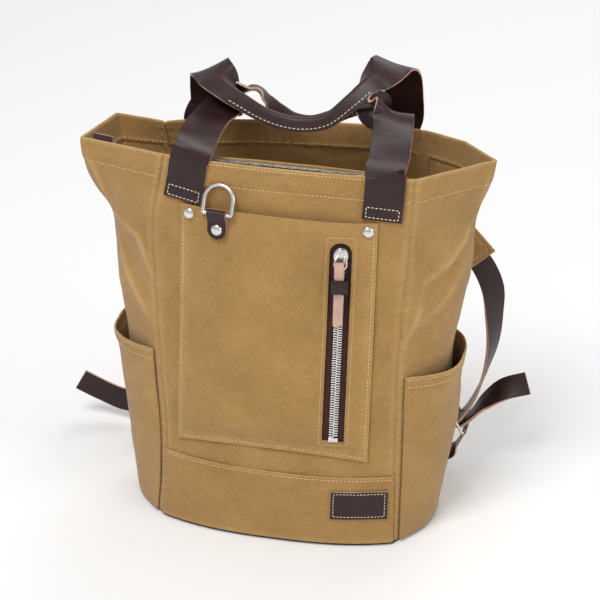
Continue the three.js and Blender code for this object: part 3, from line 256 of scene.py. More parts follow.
def canvas_finish(name, light, dark, worn_and_lit):
    finish = Finish(name, light, Roughness=0.93, Specular_IOR_Level=0.22, Sheen_Weight=0.18, Sheen_Roughness=0.6)
    plane, (across, along) = finish.pattern()
    warp = (across * (math.pi / THREAD)).sine() ** 2.0
    weft = (along * (math.pi / THREAD)).sine() ** 2.0
    over = (across * (math.pi / THREAD) + 1.57).sine() * (along * (math.pi / THREAD) + 1.57).sine() * 0.5 + 0.5
    slub_up = finish.noise(finish.stretch(plane, 1.0, 0.22, 1.0), 1.0, 2.0)
    slub_across = finish.noise(finish.stretch(plane, 0.22, 1.0, 1.0), 1.0, 2.0)
    weave = warp * over + weft * (1.0 - over)
    height = weave * 0.55 + slub_up * 0.25 + slub_across * 0.25
    patches = finish.spread(finish.noise(plane, 55.0, 3.0), 0.35, 0.68)
    speckle = finish.spread(slub_up * 0.5 + slub_across * 0.5, 0.36, 0.64)
    grime = finish.spread(finish.noise(plane, 9.0, 4.0, 0.65), 0.3, 0.75)
    shade = patches * 0.32 + speckle * 0.42 + grime * 0.26
    colour = finish.mix(shade, (*dark, 1), (*light, 1))
    # The pale mix is worn cloth at rim, hems and seams, and a painted highlight on the crests of creases and ripples.
    wear = (finish.attribute("wear") * (0.55 + 0.6 * grime)).clamp()
    finish.feed("Base Color", finish.mix(wear * 0.75, colour, (*worn_and_lit, 1)))
    finish.feed("Roughness", 0.97 - 0.1 * speckle)
    finish.relief(height, 0.32)
    return finish.material


canvas = canvas_finish("waxed_canvas", rgb(179, 139, 82), rgb(143, 107, 56), rgb(204, 170, 112))
print("canvas nodes:", len(canvas.node_tree.nodes))

# %% [markdown]
# ## Leather
# The straps are dark brown bridle leather with a waxy sheen. Its grain is fine cells with broader creases. The cut
# edge and the flesh side aren't dyed, so they are a fibrous pinkish tan. Where a strap bends hard the wax pulls up
# and shows paler, which the wear attribute gives.

# %% Leather finishes


def leather_finish(name, deep, pale, roughness):
    finish = Finish(name, deep, Roughness=roughness, Specular_IOR_Level=0.3, Coat_Roughness=0.25)
    plane, _ = finish.pattern()
    cells = finish.node("ShaderNodeTexVoronoi", {"feature": "DISTANCE_TO_EDGE"}, {"Vector": plane, "Scale": 0.9})
    creases = finish.noise(finish.stretch(plane, 1.0, 0.35, 1.0), 7.0, 5.0, 0.6)
    clouds = finish.spread(finish.noise(plane, 26.0, 3.0), 0.35, 0.7)
    pores = finish.noise(plane, 0.7, 2.0)
    height = finish.spread(cells, 0.0, 0.25) * 0.4 + creases * 0.45 + pores * 0.15
    colour = finish.mix(clouds * 0.45 + creases * 0.25, (*deep, 1), (*pale, 1))
    wear = finish.attribute("wear").clamp()
    finish.feed("Base Color", finish.mix(wear * 0.4, colour, (*rgb(84, 54, 50), 1)))
    finish.feed("Roughness", roughness - 0.06 + 0.2 * creases + 0.1 * clouds)
    finish.shader.inputs["Coat Weight"].default_value = 0.12
    finish.relief(height, 0.16)
    return finish.material


def raw_finish(name, light, dark):
    finish = Finish(name, light, Roughness=0.85, Specular_IOR_Level=0.3)
    where = finish.place()
    fibres = finish.noise(finish.stretch(where, 1.0, 1.0, 0.4), 1.2, 5.0, 0.7)
    stains = finish.noise(where, 11.0, 3.0)
    finish.feed("Base Color", finish.mix(
        finish.spread(fibres * 0.6 + stains * 0.4, 0.35, 0.65), (*dark, 1), (*light, 1)))
    finish.relief(fibres, 0.25)
    return finish.material


leather = leather_finish("bridle_leather", rgb(38, 20, 21), rgb(60, 34, 33), 0.34)
raw_edge = raw_finish("raw_leather_edge", rgb(208, 170, 148), rgb(156, 116, 98))
flesh = raw_finish("leather_flesh_side", rgb(208, 172, 156), rgb(180, 142, 126))

# %% [markdown]
# ## Thread, zip tape and nickel
# Thread is a twisted cord, so its finish is a fine diagonal stripe. Zip tape is a ribbed woven band. The nickel
# plate is bright with a slight haze and hairline scratches, because a perfect mirror looks like a drawing.

# %% Thread, tape and metal finishes


def thread_finish(name, light, dark):
    finish = Finish(name, light, Roughness=0.7, Specular_IOR_Level=0.3)
    twist = finish.noise(finish.place(), 0.8, 2.0)
    finish.feed("Base Color", finish.mix(finish.spread(twist, 0.35, 0.65), (*dark, 1), (*light, 1)))
    return finish.material


def tape_finish(name, light, dark):
    finish = Finish(name, dark, Roughness=0.88, Specular_IOR_Level=0.25)
    plane, (across, along) = finish.pattern()
    ribs = (across * (math.pi / 1.1)).sine() ** 2.0
    picks = (along * (math.pi / 0.6)).sine() ** 2.0
    lint = finish.noise(plane, 4.0, 4.0)
    finish.feed("Base Color", finish.mix((ribs * 0.5 + lint * 0.6).clamp(), (*dark, 1), (*light, 1)))
    finish.relief(ribs * 0.6 + picks * 0.4, 0.25)
    return finish.material


def metal_finish(name, colour, roughness):
    finish = Finish(name, colour, Metallic=1.0, Roughness=roughness)
    where = finish.place()
    haze = finish.noise(where, 9.0, 4.0)
    scratches = finish.noise(finish.stretch(where, 0.15, 1.0, 1.0), 0.5, 2.0)
    finish.feed("Roughness", roughness - 0.08 + 0.14 * haze + 0.08 * scratches)
    finish.feed("Base Color", finish.mix(haze, (*colour, 1), (*[c * 0.86 for c in colour], 1)))
    finish.relief(scratches * 0.5 + haze * 0.5, 0.02)
    return finish.material


canvas_thread = thread_finish("canvas_thread", rgb(232, 212, 160), rgb(198, 170, 112))
leather_thread = thread_finish("cream_thread", rgb(250, 240, 214), rgb(222, 206, 172))
zip_tape = tape_finish("zip_tape", rgb(84, 54, 50), rgb(46, 27, 27))
nickel = metal_finish("bright_nickel", (0.78, 0.76, 0.73), 0.22)
white_paper = Finish("floor_paper", (0.9, 0.9, 0.9), Roughness=0.9)
floor_mesh.materials.append(white_paper.material)

# %% [markdown]
# ## The bag's form
# The walls are four panels that run from a base of 240 by 150 mm up to a slack mouth. Their form is known from a
# few sections between the base and the rim, each a row of shares of the bag's sizes. A smooth curve through the
# rows gives every height between. The same rows shaped the solids, so the cloth comes out where they are.

# %% Sections of the walls
HEIGHT, WIDTH, DEPTH, BULGE = 392, 244, 150, 90
FRONT_BELLY, BACK_BELLY, CORNER_SAG, BACK_SAG = 20, 12, 4, 6
CANVAS, LEATHER, THIN_LEATHER, GAP, ROOM, FOOT = 2, 2.4, 1.6, 0.3, 0.5, 3.3
UP = np.array([0, 0.10, 0.25, 0.38, 0.47, 0.60, 0.72, 0.79, 0.86, 0.93, 1])
TRACKS = {
    "frontLeft": [-0.98, -0.95, -0.95, -0.99, -1.01, -1.04, -1.065, -1.075, -1.06, -1.02, -0.985],
    "frontRight": [0.98, 0.97, 0.96, 0.95, 0.945, 0.955, 0.975, 0.985, 0.995, 1.005, 1.01],
    "backLeft": [-0.98, -0.98, -0.99, -1.00, -1.01, -1.03, -1.06, -1.09, -1.12, -1.15, -1.18],
    "backRight": [0.98, 0.98, 0.99, 0.99, 0.98, 0.97, 0.95, 0.94, 0.93, 0.92, 0.90],
    "front": [-1.00, -0.99, -0.96, -0.93, -0.91, -0.88, -0.86, -0.85, -0.84, -0.82, -0.80],
    "backL": [1.00, 0.99, 0.96, 0.94, 0.92, 0.88, 0.82, 0.75, 0.66, 0.56, 0.47],
    "backR": [1.00, 0.99, 0.96, 0.94, 0.92, 0.90, 0.88, 0.87, 0.86, 0.85, 0.84],
    "outLeft": [0.40, 0.49, 0.53, 0.52, 0.53, 0.55, 0.56, 0.60, 0.78, 0.93, 1.00],
    "outRight": [0.29, 0.36, 0.435, 0.445, 0.47, 0.55, 0.58, 0.58, 0.60, 0.69, 0.75],
    "ridgeLeft": [0, 0, 0, 0, -0.02, -0.08, -0.14, -0.20, -0.30, -0.37, -0.40],
    "ridgeRight": [0.05, 0.05, 0.05, 0.05, 0.06, 0.07, 0.08, 0.08, 0.07, 0.07, 0.07],
    "quarter": [0.80, 0.82, 0.83, 0.83, 0.84, 0.86, 0.80, 0.70, 0.58, 0.53, 0.50],
    "slackLeft": [0, 0, 0, 0, 0, 0, 0, 0.1, 0.35, 0.7, 1],
    "slackRight": [0, 0, 0, 0, 0, 0, 0, 0.05, 0.15, 0.3, 0.4],
}


def section(name, up):
    y = np.array(TRACKS[name])
    i = np.clip(np.searchsorted(UP, up, side="right"), 1, len(UP) - 1)
    before, after = np.where(i > 1, i - 2, i), np.where(i < len(UP) - 1, i + 1, i - 1)
    start, end = UP[i - 1], UP[i]
    half = (end - start) / 2
    a, b = half / (start - UP[before]), half / (UP[after] - end)
    p = np.clip((up - start) / (end - start), 0, 1)
    return ((-a * p**3 + 2 * a * p**2 - a * p) * y[before]
            + ((1 + a) * p**3 + (-1.5 - 2 * a) * p**2 + (-0.5 + a) * p + 1) * y[i - 1]
            + ((-1 - b) * p**3 + (1.5 + b) * p**2 + 0.5 * p) * y[i] + (b * p**3 - b * p**2) * y[after])


def step_up(x, low, high):
    t = np.clip((x - low) / (high - low), 0, 1)
    return t * t * (3 - 2 * t)


def between(a, b, share):
    return a + (b - a) * np.asarray(share)[..., None]


def up_of(z):
    return (z - FOOT) / (HEIGHT - FOOT)


def bow(s):
    return 1 - np.abs(2 * s - 1) ** 2.6


print("rim width of the front:", round(float(section("frontRight", 1.0) - section("frontLeft", 1.0)) * WIDTH / 2, 1))

# %% [markdown]
# A wall is a surface with two coordinates: s runs from its left seam to its right seam, seen from outside, and up
# runs from base to rim. The side walls have a fold down their middle at the rim, and are round low down.

# %% The four walls


def seam(which, up):
    left = which.endswith("Left")
    y = section("front" if which.startswith("front") else "backL" if left else "backR", up)
    sag = BACK_SAG * step_up(up, 0.6, 1) if which == "backLeft" else 0
    return np.stack([section(which, up) * WIDTH / 2, y * DEPTH / 2, FOOT + (HEIGHT - FOOT) * up - sag], -1)


def front_wall(s, up):
    p = between(seam("frontLeft", up), seam("frontRight", up), s)
    p[..., 1] -= FRONT_BELLY * (1 - 0.65 * step_up(up, 0.2, 0.9)) * bow(s)
    return p


def back_wall(s, up):
    p = between(seam("backRight", up), seam("backLeft", up), s)
    p[..., 1] += BACK_BELLY * bow(s)
    return p


def smooth_curve(points, share):
    """Points on a smooth curve through points, an array of stations by samples by 3."""
    last = len(points) - 1
    place = np.clip(share, 0, 1) * last
    i = np.minimum(place.astype(int), last - 1)
    p = (place - i)[:, None]
    padded = np.concatenate([2 * points[:1] - points[1:2], points, 2 * points[-1:] - points[-2:-1]])
    column = np.arange(len(i)) if points.shape[1] > 1 else 0
    a, b, c, d = (padded[i + k, column] for k in range(4))
    e, f, g = (np.maximum(np.linalg.norm(y - x, axis=-1, keepdims=True) ** 0.5, 1e-3)
               for x, y in ((a, b), (b, c), (c, d)))
    m = ((b - a) / e - (c - a) / (e + f) + (c - b) / f) * f
    n = ((c - b) / f - (d - b) / (f + g) + (d - c) / g) * f
    return b + m * p + (3 * (c - b) - 2 * m - n) * p**2 + (2 * (b - c) + m + n) * p**3


def side_wall(side):
    out = -1 if side == "Left" else 1

    def wall(s, up):
        front, back = seam("front" + side, up), seam("back" + side, up)
        bulge = section("out" + side, up) * BULGE * out
        middle = (front + back) / 2
        middle[..., 0] = front[..., 0] + bulge
        middle[..., 1] = section("ridge" + side, up) * DEPTH / 2
        top = FOOT + (HEIGHT - FOOT) * up
        if side == "Left":
            middle[..., 2] = top - CORNER_SAG * step_up(up, 0.6, 1)
        near, far = (front + middle) / 2, (back + middle) / 2
        round_out = (section("quarter", up) - 0.5) * bulge
        slack = section("slack" + side, up)
        near[..., 0] += round_out
        far[..., 0] += round_out + slack * 0.16 * bulge
        far[..., 1] += slack * 0.4 * (back - middle)[..., 1]
        far[..., 2] = top
        points = np.stack([front, near, middle, far, back][::out])
        share = np.clip(s, 0, 1)
        i = np.minimum((share * 4).astype(int), 3)
        column = np.arange(len(i))
        folded = between(points[i, column], points[i + 1, column], share * 4 - i)
        return between(smooth_curve(points, share), folded, step_up(up, 0.72, 0.9))

    return wall


WALLS = {"front": front_wall, "back": back_wall, "left": side_wall("Left"), "right": side_wall("Right")}


def facing(wall, s, up, step=1e-3):
    along = wall(np.minimum(s + step, 1), up) - wall(np.maximum(s - step, 0), up)
    rise = wall(s, np.minimum(up + step, 1)) - wall(s, np.maximum(up - step, 0))
    normal = np.cross(along, rise)
    return normal / np.linalg.norm(normal, axis=-1, keepdims=True)


for side, wall in WALLS.items():
    corner = wall(np.array([0.0, 1.0]), np.array([1.0, 1.0]))
    print(side, "rim from", corner[0].round(0), "to", corner[1].round(0))

# %% [markdown]
# ## Folds and puckers
# Used canvas remembers how it was carried. The creases run from the slack corners of the mouth down towards the
# side seams, where the side walls are pinched between the stiffer front and back. A simulation could find folds,
# but not these ones, so each crease is drawn as a line on its wall, in mm from the left seam and above the ground,
# and raises a soft ridge or a valley. Stitching shortens the cloth a little, which puckers it along every seam.

# %% Creases
SPAN = {"front": 240, "back": 240, "left": 190, "right": 180}
CREASES = {
    "left": [
        ([(95, 388), (109, 358), (115, 336), (127, 314)], 2.2, 8),
        ([(127, 314), (171, 301), (179, 286), (189, 257)], 2.6, 6),
        ([(129, 311), (160, 254), (172, 231), (186, 210)], 2.4, 7),
        ([(140, 297), (166, 268), (184, 238)], -2.2, 7),
        ([(150, 330), (172, 322), (188, 305)], -1.2, 8),
        ([(112, 300), (124, 262), (146, 222)], 1.4, 11),
        ([(60, 310), (70, 262), (76, 215)], 1.3, 13),
        ([(150, 150), (172, 110), (180, 60)], 1.2, 12),
        ([(70, 140), (84, 90), (80, 40)], 1.2, 15),
    ],
    "right": [
        ([(85, 388), (84, 362), (86, 341)], 1.8, 7),
        ([(86, 336), (66, 313), (38, 296), (16, 282)], 2.6, 6),
        ([(16, 282), (12, 245), (3, 212)], 1.8, 6),
        ([(72, 300), (42, 268), (14, 236)], 1.8, 8),
        ([(62, 306), (34, 282), (18, 262)], -1.8, 6),
        ([(100, 330), (96, 290), (80, 250)], 1.3, 11),
        ([(20, 150), (36, 110), (34, 60)], 1.2, 12),
    ],
    "front": [
        ([(6, 345), (12, 300), (8, 250), (4, 205)], 1.0, 6),
        ([(18, 330), (22, 260), (12, 190)], -0.7, 7),
        ([(228, 340), (232, 290), (234, 240)], 0.9, 6),
        ([(60, 66), (120, 58), (190, 62)], 0.7, 12),
        ([(30, 30), (90, 22), (150, 26)], 0.7, 11),
        ([(110, 372), (140, 362), (170, 366)], -0.8, 8),
    ],
    "back": [
        ([(60, 300), (80, 220), (70, 140)], 1.4, 14),
        ([(180, 300), (165, 210), (175, 120)], 1.4, 14),
        ([(30, 370), (80, 352), (130, 366)], 1.0, 10),
        ([(40, 90), (110, 70), (200, 84)], 1.1, 13),
    ],
}


def ridge_along(a, z, line, height, width):
    """The height of one crease at points a across and z up, fading towards the crease's ends."""
    best, along = np.full(a.shape, 1e9), np.zeros(a.shape)
    last = len(line) - 1
    for i, ((a0, z0), (a1, z1)) in enumerate(zip(line, line[1:])):
        da, dz = a1 - a0, z1 - z0
        share = np.clip(((a - a0) * da + (z - z0) * dz) / (da * da + dz * dz), 0, 1)
        gap = np.hypot(a - a0 - share * da, z - z0 - share * dz)
        nearer = gap < best
        best, along = np.where(nearer, gap, best), np.where(nearer, (i + share) / last, along)
    crest = 0.55 * np.exp(-(best / width) ** 2) + 0.6 * np.exp(-best / (0.34 * width))
    return height * crest * (0.35 + 0.65 * np.sin(math.pi * along))


def ripples(a, z, seed, size, count=7):
    """Soft waves in all directions, about size mm long, from -1 to 1."""
    dice = np.random.default_rng(seed)
    total = np.zeros(a.shape)
    for _ in range(count):
        turn, phase, bend = dice.uniform(0, 2 * math.pi, 3)
        wave = size * dice.uniform(0.7, 1.6)
        x = a * math.cos(turn) + z * math.sin(turn) + 0.25 * size * np.sin((z - a) / size + bend)
        total += np.sin(2 * math.pi * x / wave + phase)
    return total / count * 1.6


HEM = 24
SEEDS = {"front": 3, "back": 5, "left": 8, "right": 13}


def drape(side, s, up):
    """How far the cloth of a wall stands off its flat form, in mm, and how pale it is, from 0 to 1: worn at the rim
    and the seams, with a painted highlight on the crests of creases and ripples.
    """
    a, z = s * SPAN[side], FOOT + (HEIGHT - FOOT) * up
    creased = sum(ridge_along(a, z, *crease) for crease in CREASES[side])
    seam_gap = np.minimum(s, 1 - s) * SPAN[side]
    hem_gap = np.abs(HEIGHT - HEM - z)
    soft = 0.75 * ripples(a, z, SEEDS[side], 85) + 0.3 * ripples(a, z, SEEDS[side] + 1, 27)
    pucker = 0.35 * np.sin(z * 0.72 + 2 * np.sin(z * 0.11)) * np.exp(-((seam_gap - 4) / 6) ** 2)
    pucker += 0.4 * np.sin(a * 0.62 + 2 * np.sin(a * 0.09)) * np.exp(-(hem_gap / 7) ** 2)
    hem = 0.5 * step_up(z, HEIGHT - HEM - 1.5, HEIGHT - HEM + 1.5) - 0.5 * np.exp(-(hem_gap / 1.8) ** 2)
    groove = -1.9 * np.exp(-(seam_gap / 1.9) ** 2)
    free = step_up(seam_gap, 0, 14)
    height = creased * (0.4 + 0.6 * free) + soft * free + pucker + hem + groove
    # Paleness: worn at the rim and beside the seams, and a painted highlight on crease ridges and ripple crests.
    wear = np.maximum(creased, 0) ** 2 * 0.16 + 0.7 * step_up(z, HEIGHT - 4, HEIGHT) + 0.3 * np.exp(
        -((seam_gap - 4) / 2.5) ** 2) + 0.12 * np.maximum(soft, 0)
    return height, wear


a, z = np.meshgrid(np.linspace(0, 1, 60), np.linspace(0, 1, 90))
print("folds of the left wall run from", *[round(float(f), 1) for f in (
    drape("left", a, z)[0].min(), drape("left", a, z)[0].max())])

# %% [markdown]
# ## Cutting and sewing cloth
# Each cloth piece starts as a flat rectangle cut from the roll: a grid of fine cells, one unit each way. Holes are
# cut while it is flat. Then it is laid where the wall is, and keeps its flat place as a UV map, so that the weave
# runs straight up the panel, as it does on the real bag. Last it gets its thickness and a soft rounded edge.

# %% Cloth helpers


def cut(columns, rows):
    flat = bmesh.new()
    bmesh.ops.create_grid(flat, x_segments=columns, y_segments=rows, size=0.5)
    bmesh.ops.translate(flat, verts=flat.verts, vec=(0.5, 0.5, 0))
    return flat


def placed(name, mesh, materials, nodes=(), body="bag"):
    """A finished mesh becomes an object of the bag that stands for the given solids."""
    for material in materials:
        mesh.materials.append(material)
    mesh.shade_smooth()
    thing = bpy.data.objects.new(name, mesh)
    scene.collection.objects.link(thing)
    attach(thing, body)
    if nodes:
        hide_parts(*nodes)
    return thing


def lay(name, flat, place, size, materials, nodes=(), thick=CANVAS, edge=0.5, wear=None, body="bag"):
    """Lays a cut pattern of size mm where place says, gives it its thickness inwards and rounds its edge."""
    mesh = bpy.data.meshes.new(name)
    flat.to_mesh(mesh)
    flat.free()
    co = np.empty(len(mesh.vertices) * 3)
    mesh.vertices.foreach_get("co", co)
    s, t = co.reshape(-1, 3)[:, 0], co.reshape(-1, 3)[:, 1]
    mesh.vertices.foreach_set("co", (place(s, t) * MM).ravel())
    corners = np.empty(len(mesh.loops), int)
    mesh.loops.foreach_get("vertex_index", corners)
    pattern = np.stack([s * size[0], t * size[1]], -1)[corners] * MM
    mesh.uv_layers.new(name="pattern").data.foreach_set("uv", pattern.ravel())
    # Paleness per point: real wear, and on the canvas also a painted highlight on the crests.
    worn_and_lit = np.clip(wear(s, t), 0, 1) if wear else np.zeros(len(s))
    mesh.attributes.new("wear", "FLOAT", "POINT").data.foreach_set("value", worn_and_lit)
    mesh.update()
    thing = placed(name, mesh, materials, nodes, body)
    wall = thing.modifiers.new("thickness", "SOLIDIFY")
    wall.thickness, wall.offset = thick * MM, -1
    wall.material_offset_rim = 1 if len(materials) > 1 else 0
    if edge:
        rounded = thing.modifiers.new("edge", "BEVEL")
        rounded.width, rounded.segments, rounded.limit_method = edge * MM, 2, "ANGLE"
        rounded.angle_limit = math.radians(50)
    return thing


# %% [markdown]
# ## The four walls
# Front, back and two sides, cut so that their edges meet exactly in the seams. The seam allowances are turned to
# the inside, so a seam shows as a narrow groove with a faint ridge on each side. The top 24 mm are turned in twice
# as a hem, which makes the rim a little thicker. All four walls are laid by one loop, because only their place
# differs.

# %% Walls


def cloth_wall(side, lift=0.0):
    wall = WALLS[side]

    def place(s, up):
        height, _ = drape(side, s, up)
        return wall(s, up) + facing(wall, s, up) * (height + lift)[:, None]

    return place


CLOTH_OF = {"front": "front_panel", "back": "back_panel", "left": "gusset_left", "right": "gusset_right"}
for side, node in CLOTH_OF.items():
    panel = lay(node + "_cloth", cut(110, 180), cloth_wall(side), (SPAN[side], HEIGHT), [canvas],
                [node], edge=0.8, wear=lambda s, t, side=side: drape(side, s, t)[1])
print("walls:", len(CLOTH_OF), "with", len(panel.data.vertices), "points each")

# %% [markdown]
# The hem's turned-in layer shows inside the mouth as a strip with its own edge. It is a second, thinner cloth
# against the inside of each wall.

# %% Turned-in hem
for side in ("back", "left", "right"):
    low = up_of(HEIGHT - HEM - 3)
    wall_at = cloth_wall(side, -CANVAS - 0.15)
    lay(f"hem_{side}", cut(110, 12), lambda s, t, at=wall_at, low=low: at(s, low + t * (0.997 - low)),
        (SPAN[side], HEM), [canvas], thick=1.0, edge=0.3)

# %% [markdown]
# The seam allowances of the four corners are bound with a narrow canvas strip inside, from the ground to the rim.

# %% Corner strips
ROUND = ("front", "right", "back", "left")
for side, after in zip(ROUND, ROUND[1:] + ROUND[:1]):
    ends = [(cloth_wall(side, -CANVAS - 0.2), 1 - 7 / SPAN[side]), (cloth_wall(after, -CANVAS - 0.2), 7 / SPAN[after])]

    def strip_place(s, t, ends=ends):
        first, second = (at(np.full(len(t), share), 0.01 + t * 0.985) for at, share in ends)
        return between(first, second, s)

    lay(f"corner_strip_{side}_{after}", cut(6, 150), strip_place, (12, HEIGHT), [canvas], thick=1.0,
        edge=0.2)

# %% [markdown]
# ## Base
# The bag stands on a base plate in the dark leather finish, set in a little from the walls, so that its dark edge
# under the walls is a painted contact shadow. Its outline is the walls' own at the ground, taken in by a few
# millimetres: a disc of many corners, moved out to that outline and given its thickness.

# %% Base
BASE_THICKNESS, BASE_INSET = 3, 1.2
plate = bmesh.new()
bmesh.ops.create_circle(plate, cap_ends=True, segments=160, radius=1)
ring_shares = np.arange(40) / 40
outline = np.concatenate([
    WALLS[side](ring_shares, np.zeros(40)) for side in ("front", "right", "back", "left")])[:, :2]
outline *= 1 - BASE_INSET / np.linalg.norm(outline, axis=1, keepdims=True)
for corner, (x, y) in zip(plate.verts, outline):
    corner.co = (x * MM, y * MM, 0)
bmesh.ops.recalc_face_normals(plate, faces=plate.faces)
bmesh.ops.solidify(plate, geom=plate.faces, thickness=-BASE_THICKNESS * MM)
lowest = min(v.co.z for v in plate.verts)
bmesh.ops.translate(plate, verts=plate.verts, vec=(0, 0, -lowest))
rim = [e for e in plate.edges if e.calc_face_angle(0) > 1]
bmesh.ops.bevel(plate, geom=rim, offset=0.7 * MM, offset_type="OFFSET", segments=3, profile=0.5, affect="EDGES",
                material=-1)
print("base from", round(lowest, 4), "with", len(plate.faces), "faces")


def unwrap(mesh):
    """A flat pattern for a hard leather piece, straight from its X and Y, with no wear."""
    co = np.empty(len(mesh.vertices) * 3)
    mesh.vertices.foreach_get("co", co)
    corners = np.empty(len(mesh.loops), int)
    mesh.loops.foreach_get("vertex_index", corners)
    mesh.uv_layers.new(name="pattern").data.foreach_set("uv", co.reshape(-1, 3)[corners][:, :2].ravel())
    mesh.attributes.new("wear", "FLOAT", "POINT")


# The base plate's dark leather paints the contact shadow along the foot of the walls.
base_mesh = bpy.data.meshes.new("base_plate_shadow_edge")
plate.to_mesh(base_mesh)
plate.free()
unwrap(base_mesh)
placed("base_plate_shadow_edge", base_mesh, [leather], ["base_panel"])

# %% [markdown]
# ## Front pocket and bottom band
# The band is a second layer over the foot of the front, caught in the side seams. The pocket is a flat patch, sewn
# round three sides, that stands off the bag between its seams. Its edges are turned under, so they are thicker and
# rounder than a single layer. The zip window is cut out of the flat pattern first: a straight slot whose top is a
# half circle, with its points drawn to the exact outline.

# %% Pocket and band
BAND, POCKET_WIDTH, POCKET_BOTTOM, POCKET_TOP, POCKET_SHIFT = 78, 191, 96, 346, -5
ARCH, PUFF = 8, 7.5
POCKET_LEFT = POCKET_SHIFT - POCKET_WIDTH / 2
ZIP_X, ZIP_LOW, ZIP_HIGH, WINDOW = 57, 119, 326, 21


def across_front(x, up):
    left, right = section("frontLeft", up) * WIDTH / 2, section("frontRight", up) * WIDTH / 2
    return (x - left) / (right - left)


def across_back(x, up):
    left, right = section("backLeft", up) * WIDTH / 2, section("backRight", up) * WIDTH / 2
    return 1 - (x - left) / (right - left)


def on_wall(side, x, z, lift):
    """Points of the front or back wall from X and Z in mm, standing off by lift."""
    x, z, lift = (np.atleast_1d(np.asarray(v, float)) for v in np.broadcast_arrays(x, z, lift))
    up = up_of(z)
    s = (across_front if side == "front" else across_back)(x, up)
    return WALLS[side](s, up) + facing(WALLS[side], s, up) * lift[:, None]


def pocket_lift(x, z):
    s = np.clip((x - POCKET_LEFT) / POCKET_WIDTH, 0, 1)
    t = (z - POCKET_BOTTOM - ARCH * bow(s)) / (POCKET_TOP - POCKET_BOTTOM)
    return GAP + PUFF * bow(s) * step_up(t, 0, 0.1)


def on_pocket(x, z, lift):
    return on_wall("front", x, z, pocket_lift(x, z) + lift)


def pocket_folds(s, t):
    a, z = s * POCKET_WIDTH, t * (POCKET_TOP - POCKET_BOTTOM)
    edge_gap = np.minimum(np.minimum(a, POCKET_WIDTH - a), z)
    side_gap = np.minimum(a, POCKET_WIDTH - a)
    slack = step_up(edge_gap, 0, 26)
    soft = 0.6 * ripples(a, z, 21, 95) + 0.22 * ripples(a, z, 22, 30)
    pucker = 0.3 * np.sin(z * 0.8 + 2 * np.sin(z * 0.13)) * np.exp(-((side_gap - 5) / 5) ** 2)
    pucker += 0.3 * np.sin(a * 0.7 + 2 * np.sin(a * 0.1)) * np.exp(-((z - 5) / 5) ** 2)
    turned = 0.45 * (1 - step_up(edge_gap, 7, 9.5))
    stitched = -0.45 * np.exp(-((edge_gap - 3.2) / 1.5) ** 2)
    window_gap = np.hypot(np.maximum(np.abs(a - (ZIP_X - POCKET_LEFT)) - 1, 0), np.maximum(
        z - (ZIP_HIGH - POCKET_BOTTOM - WINDOW / 2), 0) + np.maximum(ZIP_LOW - POCKET_BOTTOM - z, 0))
    around = -0.5 * np.exp(-((window_gap - WINDOW / 2 - 4) / 2) ** 2)
    sag = -1.4 * np.exp(-((POCKET_TOP - POCKET_BOTTOM - z) / 9) ** 2) * np.sin(math.pi * np.clip(s * 1.15, 0, 1)) ** 2
    # The second value is paleness: worn at the turned edges, and a painted highlight on the ripple crests.
    return slack * soft + pucker + turned + stitched + around + sag, (
        0.55 * np.exp(-(edge_gap / 1.5) ** 2) + 0.2 * np.exp(-((edge_gap - 6) / 3) ** 2) + 0.25 * np.maximum(soft, 0))


def pocket_place(s, t):
    low = POCKET_BOTTOM + ARCH * bow(s)
    z = low + t * (POCKET_TOP - low)
    return on_pocket(POCKET_LEFT + s * POCKET_WIDTH, z, CANVAS + pocket_folds(s, t)[0])


patch = cut(120, 160)
half = WINDOW / 2 / POCKET_WIDTH
middle = (ZIP_X - POCKET_LEFT) / POCKET_WIDTH
pocket_low = POCKET_BOTTOM + ARCH * float(bow(np.array(middle)))
shares = [(z - pocket_low) / (POCKET_TOP - pocket_low) for z in (ZIP_LOW, ZIP_HIGH - WINDOW / 2, ZIP_HIGH)]
for corner, direction in (((middle - half, 0, 0), (1, 0, 0)), ((middle + half, 0, 0), (1, 0, 0)),
                          ((0, shares[0], 0), (0, 1, 0)), ((0, shares[1], 0), (0, 1, 0))):
    bmesh.ops.bisect_plane(patch, geom=patch.verts[:] + patch.edges[:] + patch.faces[:], dist=1e-6,
                           plane_co=corner, plane_no=direction)
tall = (shares[2] - shares[1])
for turn in np.linspace(0, math.pi, 17)[:-1] + math.pi / 32:
    # each short side of the round top is one cut, over the slot only
    near = [f for f in patch.faces if abs(f.calc_center_median().x - middle) < half
            and shares[1] < f.calc_center_median().y < shares[2] + 0.01]
    geom = list({e for f in near for e in f.edges} | {v for f in near for v in f.verts}) + near
    reach = math.cos(math.pi / 32)
    out = Vector((math.cos(turn) / half, math.sin(turn) / tall, 0))
    point = (middle + half * reach * math.cos(turn), shares[1] + tall * reach * math.sin(turn), 0)
    bmesh.ops.bisect_plane(patch, geom=geom, dist=1e-7, plane_co=point, plane_no=out)


def in_window(face):
    x, y = face.calc_center_median()[:2]
    if abs(x - middle) > half or y < shares[0]:
        return False
    return y < shares[1] or ((x - middle) / half) ** 2 + ((y - shares[1]) / tall) ** 2 < 1


bmesh.ops.delete(patch, geom=[f for f in patch.faces if in_window(f)], context="FACES")
print("pocket pattern with its window:", len(patch.faces), "cells")
lay("front_pocket_cloth", patch, pocket_place, (POCKET_WIDTH, POCKET_TOP - POCKET_BOTTOM), [canvas],
    ["front_pocket"], edge=0.8, wear=lambda s, t: pocket_folds(s, t)[1])


